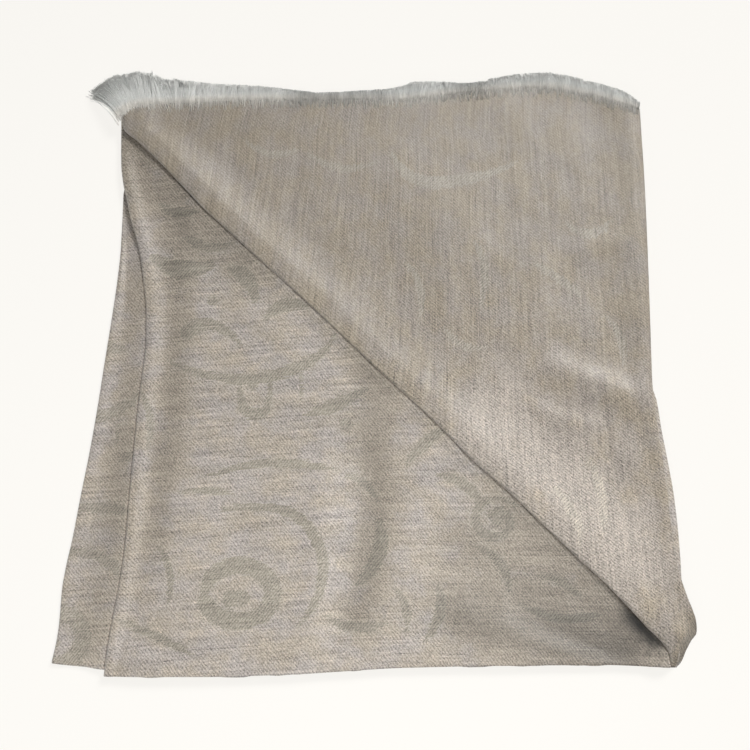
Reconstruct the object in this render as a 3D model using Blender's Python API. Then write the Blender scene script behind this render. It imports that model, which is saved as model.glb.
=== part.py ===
"""A pashmina shawl of 1.00 by 2.00 m, doubled along its length and folded in four.

It lies flat on a surface, and the end of its top layer is turned back over the diagonal.
Lengths are in millimetres up to the last step, which makes metres of them.
"""

import bpy
import numpy as np

MM = 0.001
CENTRE_X = -0.372  # middle of the outline in the tables below, which becomes the origin
CENTRE_Y = 2.529

# The cloth and the levels of the stack
PLY_PAIR = 2.2  # two plies of cloth lying on each other
STRIP_PLY = 1.3  # the single ply of the lower fold
GAP = 0.3  # between stretches that lie on each other
HIDDEN_TOP = 6.0
PANEL_MID = HIDDEN_TOP + GAP + PLY_PAIR / 2
UNDER_MID = PANEL_MID + PLY_PAIR + GAP
CORNER_MID = UNDER_MID + PLY_PAIR + GAP
PLY_GROOVE = 0.5  # how deep the line between two plies goes in at a rim

# Mesh sizes
PANEL_GRID = 14.0
HIDDEN_GRID = 25.0
EDGE_SHARE = 0.35  # no grid line comes closer to an end than this share of the grid
ROLL_STEPS = 8
FOLD_STEPS = 6

# The diagonal roll: y, x of its outer line, radius of the middle of the wall, width of the slope
DIAGONAL_ROLL = (
    (252, -247, 2.6, 22),
    (231, -245, 4.0, 28),
    (214, -229, 4.8, 34),
    (188, -204, 5.4, 38),
    (117, -136, 4.8, 40),
    (64, -78, 4.5, 42),
    (10, -22, 4.4, 42),
    (-44, 33, 4.6, 44),
    (-92, 83, 5.0, 46),
    (-134, 132, 5.4, 48),
    (-184, 184, 6.0, 46),
    (-239, 235, 5.6, 34),
    (-263, 258, 3.4, 20),
    (-275, 262, 2.2, 12),
)
ROLL_RETURN = 24.0  # how far the roll runs back below the corner
ROLL_RETURN_SHARE = 0.62  # and at most this share of the way to the right edge
SLOPE_PLACES = (0.12, 0.3, 0.5, 0.72, 1.0)
UNDER_START = 26.0  # where the layer under the corner begins, measured from the roll

# Far edge of the turned-back corner: x, y
FAR_EDGE = (
    (-247, 249),
    (-222, 251.4),
    (-193, 252.4),
    (25, 252.4),
    (74, 258.6),
    (122, 264),
    (166, 266),
    (200, 259.7),
    (229, 251.4),
    (256, 244),
)
FAR_LEVEL = 252.0  # the row of the corner that is bent onto that edge
FAR_REACH = 110.0  # how far in the bend dies out

# Right edge of the turned-back corner: y, x
CORNER_RIGHT = (
    (252, 255.5),
    (155, 256.8),
    (57, 256.2),
    (-24, 255.3),
    (-38, 256.5),
    (-65, 258.9),
    (-93, 262.2),
    (-129, 265.3),
    (-165, 268),
    (-187, 270.7),
    (-201, 273.8),
    (-217, 279.3),
    (-227, 283.5),
    (-241, 287.4),
    (-247, 286.8),
    (-253, 281.5),
    (-261, 276.6),
    (-275, 270.6),
)

# Right edge of the layers below it: y, x
STACK_RIGHT = (
    (252, 250),
    (100, 252),
    (0, 252.5),
    (-24, 255.4),
    (-38, 259.5),
    (-65, 262.8),
    (-98, 267.7),
    (-129, 271.6),
    (-170, 274),
    (-200, 274.6),
    (-225, 273),
    (-245, 269),
    (-262, 263),
    (-275, 259),
)

# The corner's tip at the lower right droops over the edge of the stack
TIP_DROOP = 2.6
TIP_FROM = -196.0
TIP_REACH = 44.0
TIP_WIDTH = 34.0
RIM_REACH = 18.0  # lifts die out this close to the right edge, but for the rim's own share
RIM_SHARE = 0.3

# Rows of the corner below its even ones, where it narrows to the tip
CORNER_TOP_ROWS = (252.0, 246.0)
CORNER_EVEN_FROM = 236.0
CORNER_EVEN_TO = -196.0
TIP_ROWS = (-198.0, -208.0, -218.0, -228.0, -237.0, -245.0, -252.0, -259.0, -266.0, -272.0)
UNDER_TOP_ROWS = (250.0, 244.0)
UNDER_END_ROWS = (-208.0, -222.0)

# Left fold of the main panel: y, x, and its front edge: x, y
PANEL_LEFT = (
    (252, -246),
    (193, -242),
    (166, -238),
    (141, -233),
    (107, -223),
    (72, -217),
    (48, -214),
    (19, -213),
    (-9, -215),
    (-37, -217.5),
    (-111, -222),
    (-170, -225),
    (-205, -228.7),
    (-236, -233.6),
    (-257, -237),
    (-284, -239.5),
)
PANEL_FRONT = (
    (-240, -284),
    (-154, -284),
    (-65, -281.5),
    (23, -276.5),
    (112, -274.6),
    (200, -274),
    (258, -276),
)
FRONT_LEVEL = -277.0
FRONT_REACH = 60.0
PANEL_FOLD_RADIUS = 1.25  # where the roll presses on the fold
PANEL_FOLD_RADIUS_FREE = 2.0
PANEL_FOLD_SINK = 0.3  # how much lower the free fold turns under
PANEL_FOLD_FREE_FROM = 10.0  # distance between fold and roll where it comes free
PANEL_FOLD_FREE_TO = 60.0
PANEL_FOLD_RETURN = 12.0
PANEL_FOLD_SLOPE = 26.0
PANEL_FOLD_PLACES = (9.0, 17.0, 28.0)
PANEL_HIDDEN = 35.0  # how far the panel runs in below the roll
PANEL_TOP_ROWS = (246.0, 238.0)
PANEL_EVEN_FROM = 226.0
PANEL_EVEN_TO = -250.0
PANEL_END_ROWS = (-258.0, -268.0, -277.0)

# Outer left fold, the strip: y, x, and its front edge: x, y
STRIP_LEFT = (
    (246, -251),
    (219, -247),
    (193, -244.6),
    (138, -242.2),
    (108, -241.6),
    (83, -243),
    (42, -247),
    (1, -251.7),
    (-41, -256.3),
    (-83, -261.7),
    (-124, -268),
    (-165, -274),
    (-189, -278.4),
    (-210, -281),
    (-236, -281.8),
    (-253, -283.2),
    (-275, -286.8),
)
STRIP_FRONT = ((-287, -273), (-270, -275), (-257, -276), (-243, -278), (-220, -279))
STRIP_LEVEL = -276.0
STRIP_FRONT_REACH = 40.0
STRIP_TOP_ROWS = (246.0, 238.0)
STRIP_EVEN_FROM = 222.0
STRIP_EVEN_TO = -256.0
STRIP_END_ROWS = (-266.0, -276.0)
STRIP_PLACES = (0.4, 0.85)  # shares of the width that shows
STRIP_RADIUS = 0.95
STRIP_BULGE = 0.5  # how much rounder the fold is where the strip is wide
STRIP_BULGE_FROM = 7.0
STRIP_BULGE_TO = 24.0
STRIP_INNER = 15.0  # both its legs end this far inside the main panel's fold
HIDDEN_INNER = 16.0  # and the hidden layers begin here

# The panel's swell and its creases die out toward the roll and toward the left fold
ROLL_CALM = 6.0
SWELL_ROLL_REACH = 34.0
CREASE_ROLL_REACH = 20.0
SWELL_FOLD_CALM = 20.0
SWELL_FOLD_REACH = 30.0
CREASE_FOLD_CALM = 4.0
CREASE_FOLD_REACH = 16.0
CREASE_FADE = 0.25  # share of a crease's length over which each end fades

# Soft ridges and troughs: start, middle and end of the line, half width, height
PANEL_SWELL = 1.9
PANEL_RELIEF = (
    (-190, 140, -170, 30, -188, -90, 13, -2.0),
    (-181, -40, -181, -140, -199, -235, 12, -1.7),
    (-14, -66, 2, -150, -38, -268, 13, -2.4),
    (-32, -60, -22, -140, -30, -215, 10, 0.9),
    (180, -205, 200, -232, 214, -262, 13, -1.6),
    (55, -180, 64, -215, 66, -245, 9, -0.8),
    (-226, -236, -195, -246, -150, -268, 9, -1.5),
    (30, -110, 70, -150, 118, -186, 15, 0.9),
)
CORNER_SWELL = 0.9
CORNER_RELIEF = (
    (262, -26, 212, -24, 158, -4, 8, 2.4),
    (232, -62, 186, -60, 140, -84, 11, 1.5),
    (196, 236, 216, 160, 208, 80, 20, 0.9),
    (40, 214, 62, 120, 50, 20, 22, 0.8),
    (120, 240, 140, 120, 120, 0, 16, -0.9),
    (262, -176, 230, -170, 196, -150, 12, 0.9),
)

# Ply rims of the hidden layers: how far in, share of the height
HIDDEN_RIM = (
    (1.2, 0.0),
    (0.0, 0.13),
    (0.8, 0.26),
    (0.0, 0.38),
    (0.8, 0.5),
    (0.0, 0.63),
    (0.8, 0.75),
    (0.2, 0.88),
    (1.4, 1.0),
)
HIDDEN_EVEN_FROM = 238.0
HIDDEN_EVEN_TO = -262.0
HIDDEN_FRONT_IN = 1.0
HIDDEN_BACK_IN = 6.0
HIDDEN_RIGHT_IN = 2.0
HIDDEN_RISE = 2.5  # its top is this much higher past the main panel
HIDDEN_RISE_FROM = 62.0
HIDDEN_RISE_TO = 90.0

# Fringe: x of the root, lean to the right in degrees, length
FRINGE_LAY = (
    (-243, -60, 40),
    (-236, -51, 39),
    (-225, -32, 36),
    (-213, -20, 34),
    (-190, -10, 26),
    (-172, -6, 21.5),
    (-150, -2, 20.5),
    (-120, 1, 19),
    (-82, 0, 14.5),
    (-53, 0, 10.5),
    (-4, 2, 13.5),
    (20, 3, 16.5),
    (38, 3, 24),
    (68, 2, 18),
    (96, 2, 12),
    (122, 3, 16),
    (166, 2, 20),
    (200, 3, 19),
    (238, 8, 18),
    (252, 16, 14),
)
FRINGE_DROOP = 0.45  # of its length, as far as the surface lets it
FRINGE_CLEAR = 1.5
STRANDS = 100
STRAND_WIDTH = 1.7
STRAND_SHARES = ((0.0, 1.0), (0.4, 0.9), (0.78, 0.6))
BACKING_DEPTH = 1.6
BACKING_HEIGHT = 0.8
STRAND_FIRST_LEAN = 0.35  # share of its lean that a strand has at the root
LEAN_WAVER = ((2.4, 4.0), (0.9, 3.0))  # turn per strand, degrees
LENGTH_WAVER = (1.7, 0.07)  # turn per strand, share of the length
LOWER_PLY_SHARE = 0.86
LOWER_PLY_SHIFT = 0.5


def along(rows, at, column=1):
    """Monotone smooth curve through a table, read at one or many places."""
    table = np.array(sorted(rows), float)
    knots, values = table[:, 0], table[:, column]
    steps = np.diff(knots)
    slopes = np.diff(values) / steps
    tangents = np.zeros(len(knots))
    tangents[0], tangents[-1] = slopes[0], slopes[-1]
    before, after = slopes[:-1], slopes[1:]
    same = before * after > 0
    safe = np.where(same, before + after, 1.0)
    tangents[1:-1] = np.where(same, 2 * before * after / safe, 0.0)
    place = np.clip(np.searchsorted(knots, at) - 1, 0, len(steps) - 1)
    share = np.clip((at - knots[place]) / steps[place], 0, 1)
    step = steps[place]
    return (
        values[place] * (1 + 2 * share) * (1 - share) ** 2
        + tangents[place] * step * share * (1 - share) ** 2
        + values[place + 1] * share**2 * (3 - 2 * share)
        - tangents[place + 1] * step * share**2 * (1 - share)
    )


def ease(value):
    """Soft step from 0 to 1."""
    share = np.clip(value, 0.0, 1.0)
    return share * share * (3 - 2 * share)


def relief(rows, x, y):
    """Sum of the soft ridges and troughs of a table."""
    total = np.zeros(np.shape(x))
    steps = np.linspace(0, 1, 17)
    for ax, ay, bx, by, cx, cy, width, height in rows:
        line_x = (1 - steps) ** 2 * ax + 2 * steps * (1 - steps) * bx + steps**2 * cx
        line_y = (1 - steps) ** 2 * ay + 2 * steps * (1 - steps) * by + steps**2 * cy
        away = np.hypot(np.subtract.outer(x, line_x), np.subtract.outer(y, line_y))
        nearest = away.argmin(axis=-1)
        share = steps[nearest]
        fade = ease(share / CREASE_FADE) * ease((1 - share) / CREASE_FADE)
        total = total + height * fade * np.exp(-((away.min(axis=-1) / width) ** 2))
    return total


def roll_line(y):
    """Where the middle of the wall stands furthest out on the diagonal roll."""
    return along(DIAGONAL_ROLL, y) + PLY_PAIR / 2 * np.sqrt(2)


def inside_roll(x, y):
    """Distance in from the diagonal roll, square to it."""
    return (x - roll_line(y)) / np.sqrt(2)


def panel_fold(y):
    """Level of the wall's middle below the main panel's left fold, and its radius."""
    width = roll_line(y) - along(PANEL_LEFT, y)
    free = ease((width - PANEL_FOLD_FREE_FROM) / (PANEL_FOLD_FREE_TO - PANEL_FOLD_FREE_FROM))
    low = PANEL_MID - 2 * PANEL_FOLD_RADIUS - PANEL_FOLD_SINK * free
    return low, PANEL_FOLD_RADIUS + (PANEL_FOLD_RADIUS_FREE - PANEL_FOLD_RADIUS) * free


def panel_height(x, y):
    """Middle of the main panel's wall: it lies on the stack and lifts off it softly."""
    from_roll = -inside_roll(x, y)
    from_left = x - along(PANEL_LEFT, y)
    swell = PANEL_SWELL * ease((from_roll - ROLL_CALM) / SWELL_ROLL_REACH)
    swell = swell * ease((from_left - SWELL_FOLD_CALM) / SWELL_FOLD_REACH)
    creases = relief(PANEL_RELIEF, x, y) * ease((from_roll - ROLL_CALM) / CREASE_ROLL_REACH)
    lift = np.maximum(swell + creases, 0.0)
    lift = lift * ease((from_left - CREASE_FOLD_CALM) / CREASE_FOLD_REACH)
    low, radius = panel_fold(y)
    top = low + 2 * radius - PANEL_MID
    fold = top * ease(1 - (from_left - radius) / PANEL_FOLD_SLOPE)
    return PANEL_MID + lift + fold


def corner_height(x, y, row):
    """Middle of the turned-back corner's wall, from the crest of the roll outward."""
    radius = along(DIAGONAL_ROLL, row, 2)
    width = along(DIAGONAL_ROLL, row, 3)
    inside = inside_roll(x, row)
    crest = UNDER_MID + 2 * radius - CORNER_MID
    slope = crest * ease(1 - (inside - radius) / width)
    lift = CORNER_SWELL + relief(CORNER_RELIEF, x, y)
    lift = np.maximum(lift, 0.0) * ease((inside - radius) / width)
    from_right = along(CORNER_RIGHT, row) - x
    tip = ease((TIP_FROM - row) / TIP_REACH) * ease(1 - from_right / TIP_WIDTH)
    lift = lift * ease(from_right / RIM_REACH + RIM_SHARE)
    return CORNER_MID + slope + lift - TIP_DROOP * tip


def bend(x, y, edge, level, reach):
    """Rows near a free edge are bent until the last one follows the edge's own line."""
    share = ease(1 - np.abs(level - y) / reach)
    return y + share * (along(edge, x) - level)


def grid_between(first, last, grid):
    """Grid lines between two ends, none close to either, and the last end itself."""
    start = int(np.ceil(first / grid + EDGE_SHARE))
    stop = int(np.floor(last / grid - EDGE_SHARE))
    return np.array([grid * k for k in range(start, stop + 1)] + [last])


def stitch(first, second, keys):
    """Triangles between two rows of points whose places along the row are in keys."""
    faces = []
    i, j = 0, 0
    while i < len(first) - 1 or j < len(second) - 1:
        next_i = keys[first[i + 1]] if i < len(first) - 1 else np.inf
        next_j = keys[second[j + 1]] if j < len(second) - 1 else np.inf
        if next_i <= next_j:
            faces.append((first[i], second[j], first[i + 1]))
            i += 1
        else:
            faces.append((first[i], second[j], second[j + 1]))
            j += 1
    return faces


def sheet(rows, rolled):
    """Surface through rows of points; the first `rolled` points of each row match up."""
    points, keys, index = [], [], []
    for row in rows:
        index.append(list(range(len(points), len(points) + len(row))))
        points.extend(row)
        keys.extend(point[0] for point in row)
    faces = []
    for upper, lower in zip(index[:-1], index[1:]):
        for k in range(rolled - 1):
            faces.append((upper[k], lower[k], upper[k + 1]))
            faces.append((upper[k + 1], lower[k], lower[k + 1]))
        start = max(rolled - 1, 0)
        faces.extend(stitch(upper[start:], lower[start:], keys))
    return np.array(points, float), np.array(faces, int)


def rim_of(faces):
    """Boundary of a surface as one loop of points, in the faces' own direction."""
    edges = {}
    for a, b, c in faces:
        for start, end in ((a, b), (b, c), (c, a)):
            if (end, start) in edges:
                del edges[(end, start)]
            else:
                edges[(start, end)] = True
    following = {start: end for start, end in edges}
    first = next(iter(following))
    loop = [first]
    while following[loop[-1]] != first:
        loop.append(following[loop[-1]])
    return loop


def normals_of(points, faces):
    corner = points[faces]
    across = np.cross(corner[:, 1] - corner[:, 0], corner[:, 2] - corner[:, 0])
    total = np.zeros(points.shape)
    for k in range(3):
        np.add.at(total, faces[:, k], across)
    return total / np.linalg.norm(total, axis=1)[:, None]


def wall(points, faces, thickness, groove):
    """Closed wall about a surface, with a fine line between its plies at the rim."""
    normals = normals_of(points, faces)
    count = len(points)
    front = points + normals * thickness / 2
    back = points - normals * thickness / 2
    loop = rim_of(faces)
    rim = points[loop]
    ahead = np.roll(rim, -1, axis=0) - np.roll(rim, 1, axis=0)
    outward = np.cross(ahead, normals[loop])
    outward /= np.linalg.norm(outward, axis=1)[:, None]
    middle = rim - outward * groove
    vertices = np.vstack([front, back, middle])
    solid = [tuple(face) for face in faces]
    solid += [(c + count, b + count, a + count) for a, b, c in faces]
    size = len(loop)
    for k in range(size):
        n = (k + 1) % size
        a, b = loop[k], loop[n]
        p, q = 2 * count + k, 2 * count + n
        solid += [(b, a, p), (b, p, q), (q, p, a + count), (q, a + count, b + count)]
    return vertices, solid


def make_object(name, vertices, faces, colour, roughness):
    """One closed body in metres, facing out, with a material of its own."""
    points = np.asarray(vertices, float) - (CENTRE_X, CENTRE_Y, 0.0)
    tri = points[np.array(faces)]
    volume = np.einsum("ij,ij->i", tri[:, 0], np.cross(tri[:, 1], tri[:, 2])).sum()
    if volume < 0:
        faces = [tuple(reversed(face)) for face in faces]
    mesh = bpy.data.meshes.new(name)
    mesh.from_pydata([tuple(p * MM) for p in points], [], [tuple(map(int, f)) for f in faces])
    mesh.update()
    material = bpy.data.materials.new(name + "_cloth")
    material.use_nodes = True
    shader = material.node_tree.nodes["Principled BSDF"]
    shader.inputs["Base Color"].default_value = (*colour, 1.0)
    shader.inputs["Roughness"].default_value = roughness
    mesh.materials.append(material)
    made = bpy.data.objects.new(name, mesh)
    bpy.context.scene.collection.objects.link(made)
    return made


def rolled_back(line, low, radius, return_length, steps, stretch):
    """The part of a row that comes back from below and turns up over a fold."""
    turned = [(return_length, low), ((return_length + radius) / 2, low)]
    for k in range(steps + 1):
        angle = np.pi * (k / steps - 0.5)
        turned.append((radius * (1 - np.cos(angle)), low + radius * (1 + np.sin(angle))))
    return [(line + away * stretch, level) for away, level in turned]


def turned_back_corner():
    """Roll and triangle: rows run from below the roll, over it and out to the right edge."""
    levels = list(CORNER_TOP_ROWS)
    levels += list(np.arange(CORNER_EVEN_FROM, CORNER_EVEN_TO, -PANEL_GRID)) + list(TIP_ROWS)
    rows = []
    for y in levels:
        line, right = float(roll_line(y)), float(along(CORNER_RIGHT, y))
        room = (right - line) / np.sqrt(2)
        radius = float(along(DIAGONAL_ROLL, y, 2))
        back = min(ROLL_RETURN, ROLL_RETURN_SHARE * room)
        row = [
            (x, y, z)
            for x, z in rolled_back(line, UNDER_MID, radius, back, ROLL_STEPS, np.sqrt(2))
        ]
        slope = min(float(along(DIAGONAL_ROLL, y, 3)), room - radius - 1.0)
        for share in SLOPE_PLACES:
            x = line + np.sqrt(2) * (radius + share * slope)
            row.append((x, y, float(corner_height(x, y, y))))
        last = row[-1][0]
        if right - last > EDGE_SHARE * PANEL_GRID:
            for x in grid_between(last, right, PANEL_GRID):
                row.append((x, y, float(corner_height(x, y, y))))
        bent = [
            (x, float(bend(x, y, FAR_EDGE, FAR_LEVEL, FAR_REACH)), z) for x, y, z in row
        ]
        rows.append(bent)
    points, faces = sheet(rows, ROLL_STEPS + 8)
    vertices, solid = wall(points, faces, PLY_PAIR, PLY_GROOVE)
    return make_object("turned_back_corner", vertices, solid, (0.42, 0.37, 0.31), 0.85)


def main_panel():
    """Lower left triangle: rows run from below the left fold to just inside the roll."""
    levels = list(PANEL_TOP_ROWS)
    levels += list(np.arange(PANEL_EVEN_FROM, PANEL_EVEN_TO, -PANEL_GRID))
    levels += list(PANEL_END_ROWS)
    rows = []
    for y in levels:
        line = float(along(PANEL_LEFT, y)) + PLY_PAIR / 2
        right = min(
            float(roll_line(y)) + PANEL_HIDDEN * np.sqrt(2),
            float(along(STACK_RIGHT, y)) - HIDDEN_RIGHT_IN / 2,
        )
        low, radius = (float(value) for value in panel_fold(y))
        row = [
            (x, y, z)
            for x, z in rolled_back(line, low, radius, PANEL_FOLD_RETURN, FOLD_STEPS, 1.0)
        ]
        for away in PANEL_FOLD_PLACES:
            row.append((line + away, y, float(panel_height(line + away, y))))
        for x in grid_between(row[-1][0], right, PANEL_GRID):
            row.append((x, y, float(panel_height(x, y))))
        rows.append(
            [(x, float(bend(x, y, PANEL_FRONT, FRONT_LEVEL, FRONT_REACH)), z) for x, y, z in row]
        )
    points, faces = sheet(rows, FOLD_STEPS + 6)
    vertices, solid = wall(points, faces, PLY_PAIR, PLY_GROOVE)
    return make_object("main_panel", vertices, solid, (0.38, 0.34, 0.28), 0.85)


def layer_under_corner():
    """The doubled layer that goes on from the roll to the right and far edges."""
    levels = list(UNDER_TOP_ROWS)
    levels += list(np.arange(CORNER_EVEN_FROM, CORNER_EVEN_TO, -PANEL_GRID))
    levels += list(UNDER_END_ROWS)
    rows = []
    for y in levels:
        left = float(roll_line(y)) + UNDER_START * np.sqrt(2)
        right = float(along(STACK_RIGHT, y))
        places = [left] + list(grid_between(left, right, 2.0 * PANEL_GRID))
        rows.append(
            [(x, float(bend(x, y, FAR_EDGE, FAR_LEVEL, FAR_REACH)), UNDER_MID) for x in places]
        )
    points, faces = sheet(rows, 0)
    vertices, solid = wall(points, faces, PLY_PAIR, PLY_GROOVE)
    return make_object("layer_under_corner", vertices, solid, (0.36, 0.32, 0.27), 0.85)


def lower_fold():
    """The strip outside the left fold: one ply that turns over just above the surface."""
    levels = list(STRIP_TOP_ROWS)
    levels += list(np.arange(STRIP_EVEN_FROM, STRIP_EVEN_TO, -2 * PANEL_GRID))
    levels += list(STRIP_END_ROWS)
    rows = []
    for y in levels:
        line = float(along(STRIP_LEFT, y)) + STRIP_PLY / 2
        showing = float(along(PANEL_LEFT, y)) - line
        bulge = STRIP_BULGE * float(
            ease((showing - STRIP_BULGE_FROM) / (STRIP_BULGE_TO - STRIP_BULGE_FROM))
        )
        radius = STRIP_RADIUS + bulge
        length = showing + STRIP_INNER
        row = [
            (x, y, z)
            for x, z in rolled_back(line, STRIP_PLY / 2, radius, length, FOLD_STEPS, 1.0)
        ]
        flat = STRIP_PLY / 2 + 2 * STRIP_RADIUS
        for share in STRIP_PLACES:
            away = radius + share * max(showing - radius, 1.0)
            level = flat + 2 * bulge * float(ease(1 - share / STRIP_PLACES[-1]))
            row.append((line + away, y, level))
        row.append((line + length, y, flat))
        rows.append(
            [
                (x, float(bend(x, y, STRIP_FRONT, STRIP_LEVEL, STRIP_FRONT_REACH)), z)
                for x, y, z in row
            ]
        )
    points, faces = sheet(rows, FOLD_STEPS + 6)
    vertices, solid = wall(points, faces, STRIP_PLY, 0.0)
    return make_object("lower_fold", vertices, solid, (0.33, 0.29, 0.24), 0.85)


def hidden_layers():
    """The plies between, as one solid whose rims show the plies."""
    levels = [FAR_LEVEL]
    levels += list(np.arange(HIDDEN_EVEN_FROM, HIDDEN_EVEN_TO, -HIDDEN_GRID)) + [FRONT_LEVEL]
    rows = []
    for y in levels:
        left = float(along(PANEL_LEFT, y)) + HIDDEN_INNER
        right = float(along(STACK_RIGHT, y)) - HIDDEN_RIGHT_IN
        places = [left] + list(grid_between(left, right, HIDDEN_GRID))
        row = []
        for x in places:
            far = float(bend(x, y, FAR_EDGE, FAR_LEVEL, FAR_REACH)) - y
            near = float(bend(x, y, PANEL_FRONT, FRONT_LEVEL, FRONT_REACH)) - y
            inset = HIDDEN_FRONT_IN * (y == FRONT_LEVEL) - HIDDEN_BACK_IN * (y == FAR_LEVEL)
            beyond = inside_roll(x, y) - HIDDEN_RISE_FROM
            rise = HIDDEN_RISE * np.clip(beyond / (HIDDEN_RISE_TO - HIDDEN_RISE_FROM), 0, 1)
            row.append((x, y + far + near + inset, HIDDEN_TOP + float(rise)))
        rows.append(row)
    points, faces = sheet(rows, 0)
    loop = rim_of(faces)
    inner = sorted(set(range(len(points))) - set(loop))
    rim = points[loop]
    ahead = np.roll(rim, -1, axis=0) - np.roll(rim, 1, axis=0)
    outward = np.stack([ahead[:, 1], -ahead[:, 0]], axis=1)
    outward /= np.linalg.norm(outward, axis=1)[:, None]
    middle = points[:, :2].mean(axis=0)
    if np.einsum("ij,ij->i", outward, rim[:, :2] - middle).mean() < 0:
        outward = -outward
    vertices, rings = [], []
    for inset, share in HIDDEN_RIM:
        rings.append(len(vertices))
        for point, out in zip(rim, outward):
            place = point[:2] - out * inset
            vertices.append((place[0], place[1], point[2] * share))
    low, high = {}, {}
    for k, place in enumerate(loop):
        low[place], high[place] = rings[0] + k, rings[-1] + k
    for place in inner:
        low[place] = len(vertices)
        vertices.append((points[place][0], points[place][1], 0.0))
        high[place] = len(vertices)
        vertices.append(tuple(points[place]))
    solid = [(high[a], high[b], high[c]) for a, b, c in faces]
    solid += [(low[c], low[b], low[a]) for a, b, c in faces]
    size = len(loop)
    for lower, upper in zip(rings[:-1], rings[1:]):
        for k in range(size):
            n = (k + 1) % size
            solid.append((upper + n, upper + k, lower + k))
            solid.append((upper + n, lower + k, lower + n))
    return make_object("hidden_layers", vertices, solid, (0.35, 0.31, 0.26), 0.9)


def fringe(name, side, length_share, shift):
    """Strands whose roots are fused into a narrow strip just off the corner's far edge."""
    first, last = FRINGE_LAY[0][0], FRINGE_LAY[-1][0]
    pitch = (last - first - STRAND_WIDTH) / (STRANDS - 1)
    starts = first + pitch * np.arange(STRANDS)
    stations = np.sort(np.concatenate([starts, starts + STRAND_WIDTH]))
    edge_y = along(FAR_EDGE, stations) + GAP
    level = np.array([float(corner_height(x, FAR_LEVEL, FAR_LEVEL)) for x in stations])
    level = level + side * (BACKING_HEIGHT + GAP) / 2
    low, high = level - BACKING_HEIGHT / 2, level + BACKING_HEIGHT / 2
    vertices, faces = [], []

    def line(y, z):
        start = len(vertices)
        vertices.extend(zip(stations, y, z))
        return start

    back_low, back_high = line(edge_y, low), line(edge_y, high)
    out_low, out_high = line(edge_y + BACKING_DEPTH, low), line(edge_y + BACKING_DEPTH, high)
    count = len(stations)
    for k in range(count - 1):
        for a, b in ((back_low, back_high), (back_high, out_high), (out_low, back_low)):
            faces.append((a + k, a + k + 1, b + k + 1))
            faces.append((a + k, b + k + 1, b + k))
    for k in range(1, count - 1, 2):
        faces.append((out_high + k, out_high + k + 1, out_low + k + 1))
        faces.append((out_high + k, out_low + k + 1, out_low + k))
    faces.append((back_low, back_high, out_high))
    faces.append((back_low, out_high, out_low))
    end = count - 1
    faces.append((back_high + end, back_low + end, out_low + end))
    faces.append((back_high + end, out_low + end, out_high + end))

    for number in range(STRANDS):
        k = 2 * number
        place = starts[number] + shift * pitch
        waver = sum(size * np.sin(turn * number + side) for turn, size in LEAN_WAVER)
        lean = np.radians(float(along(FRINGE_LAY, place)) + waver)
        length = float(along(FRINGE_LAY, place, 2)) * length_share
        length *= 1.0 + LENGTH_WAVER[1] * np.sin(LENGTH_WAVER[0] * number + 2 * side)
        root = [out_low + k, out_low + k + 1, out_high + k + 1, out_high + k]
        base = np.array([vertices[v] for v in root], float)
        centre = base.mean(axis=0)
        droop = min(FRINGE_DROOP * length, centre[2] - FRINGE_CLEAR)
        ring = root
        for share, size in STRAND_SHARES[1:]:
            turn = lean * (STRAND_FIRST_LEAN + (1 - STRAND_FIRST_LEAN) * share)
            move = np.array(
                [np.sin(turn) * length * share, np.cos(turn) * length * share, -droop * share**2]
            )
            across = np.array([np.cos(turn), -np.sin(turn), 0.0]) * STRAND_WIDTH / 2 * size
            up = np.array([0.0, 0.0, 1.0]) * BACKING_HEIGHT / 2 * size
            ring_points = [-across - up, across - up, across + up, -across + up]
            start = len(vertices)
            vertices.extend(tuple(centre + move + corner) for corner in ring_points)
            following = [start + m for m in range(4)]
            for m in range(4):
                n = (m + 1) % 4
                faces.append((ring[n], ring[m], following[m]))
                faces.append((ring[n], following[m], following[n]))
            ring = following
        tip = centre + np.array([np.sin(lean) * length, np.cos(lean) * length, -droop])
        point = len(vertices)
        vertices.append(tuple(tip))
        for m in range(4):
            faces.append((ring[(m + 1) % 4], ring[m], point))
    return make_object(name, vertices, faces, (0.58, 0.57, 0.52), 0.9)


def build():
    for old in list(bpy.data.objects):
        bpy.data.objects.remove(old, do_unlink=True)
    hidden_layers()
    lower_fold()
    main_panel()
    layer_under_corner()
    turned_back_corner()
    fringe("fringe_upper_ply", 1.0, 1.0, 0.0)
    fringe("fringe_lower_ply", -1.0, LOWER_PLY_SHARE, LOWER_PLY_SHIFT)


build()
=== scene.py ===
# %% [markdown]
# # A folded pashmina shawl
# The shawl is one piece of woven cloth, 1.00 by 2.00 m. It is doubled along its length,
# folded in four, and the end of its top layer is turned back over the diagonal. The packed
# model gives the rigid frame: every stretch of cloth that shows is one of its solids. Here
# each solid is replaced by thin plies of cloth with creases, a weave and a fringe.

import math
import bpy
import numpy as np
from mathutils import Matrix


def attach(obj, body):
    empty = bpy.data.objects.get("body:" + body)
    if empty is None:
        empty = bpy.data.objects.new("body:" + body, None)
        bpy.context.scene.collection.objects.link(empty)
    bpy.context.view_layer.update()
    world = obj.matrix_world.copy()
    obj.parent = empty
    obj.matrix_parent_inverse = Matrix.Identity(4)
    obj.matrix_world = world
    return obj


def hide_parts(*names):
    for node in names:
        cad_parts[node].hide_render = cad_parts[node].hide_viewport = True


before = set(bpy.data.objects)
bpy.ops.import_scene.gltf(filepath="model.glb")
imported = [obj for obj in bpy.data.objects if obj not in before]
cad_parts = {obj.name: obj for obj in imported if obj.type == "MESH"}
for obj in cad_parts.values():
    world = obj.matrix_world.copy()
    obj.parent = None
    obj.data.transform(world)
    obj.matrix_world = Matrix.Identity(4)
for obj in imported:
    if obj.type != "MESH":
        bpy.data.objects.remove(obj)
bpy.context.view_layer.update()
print("nodes:", sorted(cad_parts))

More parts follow.
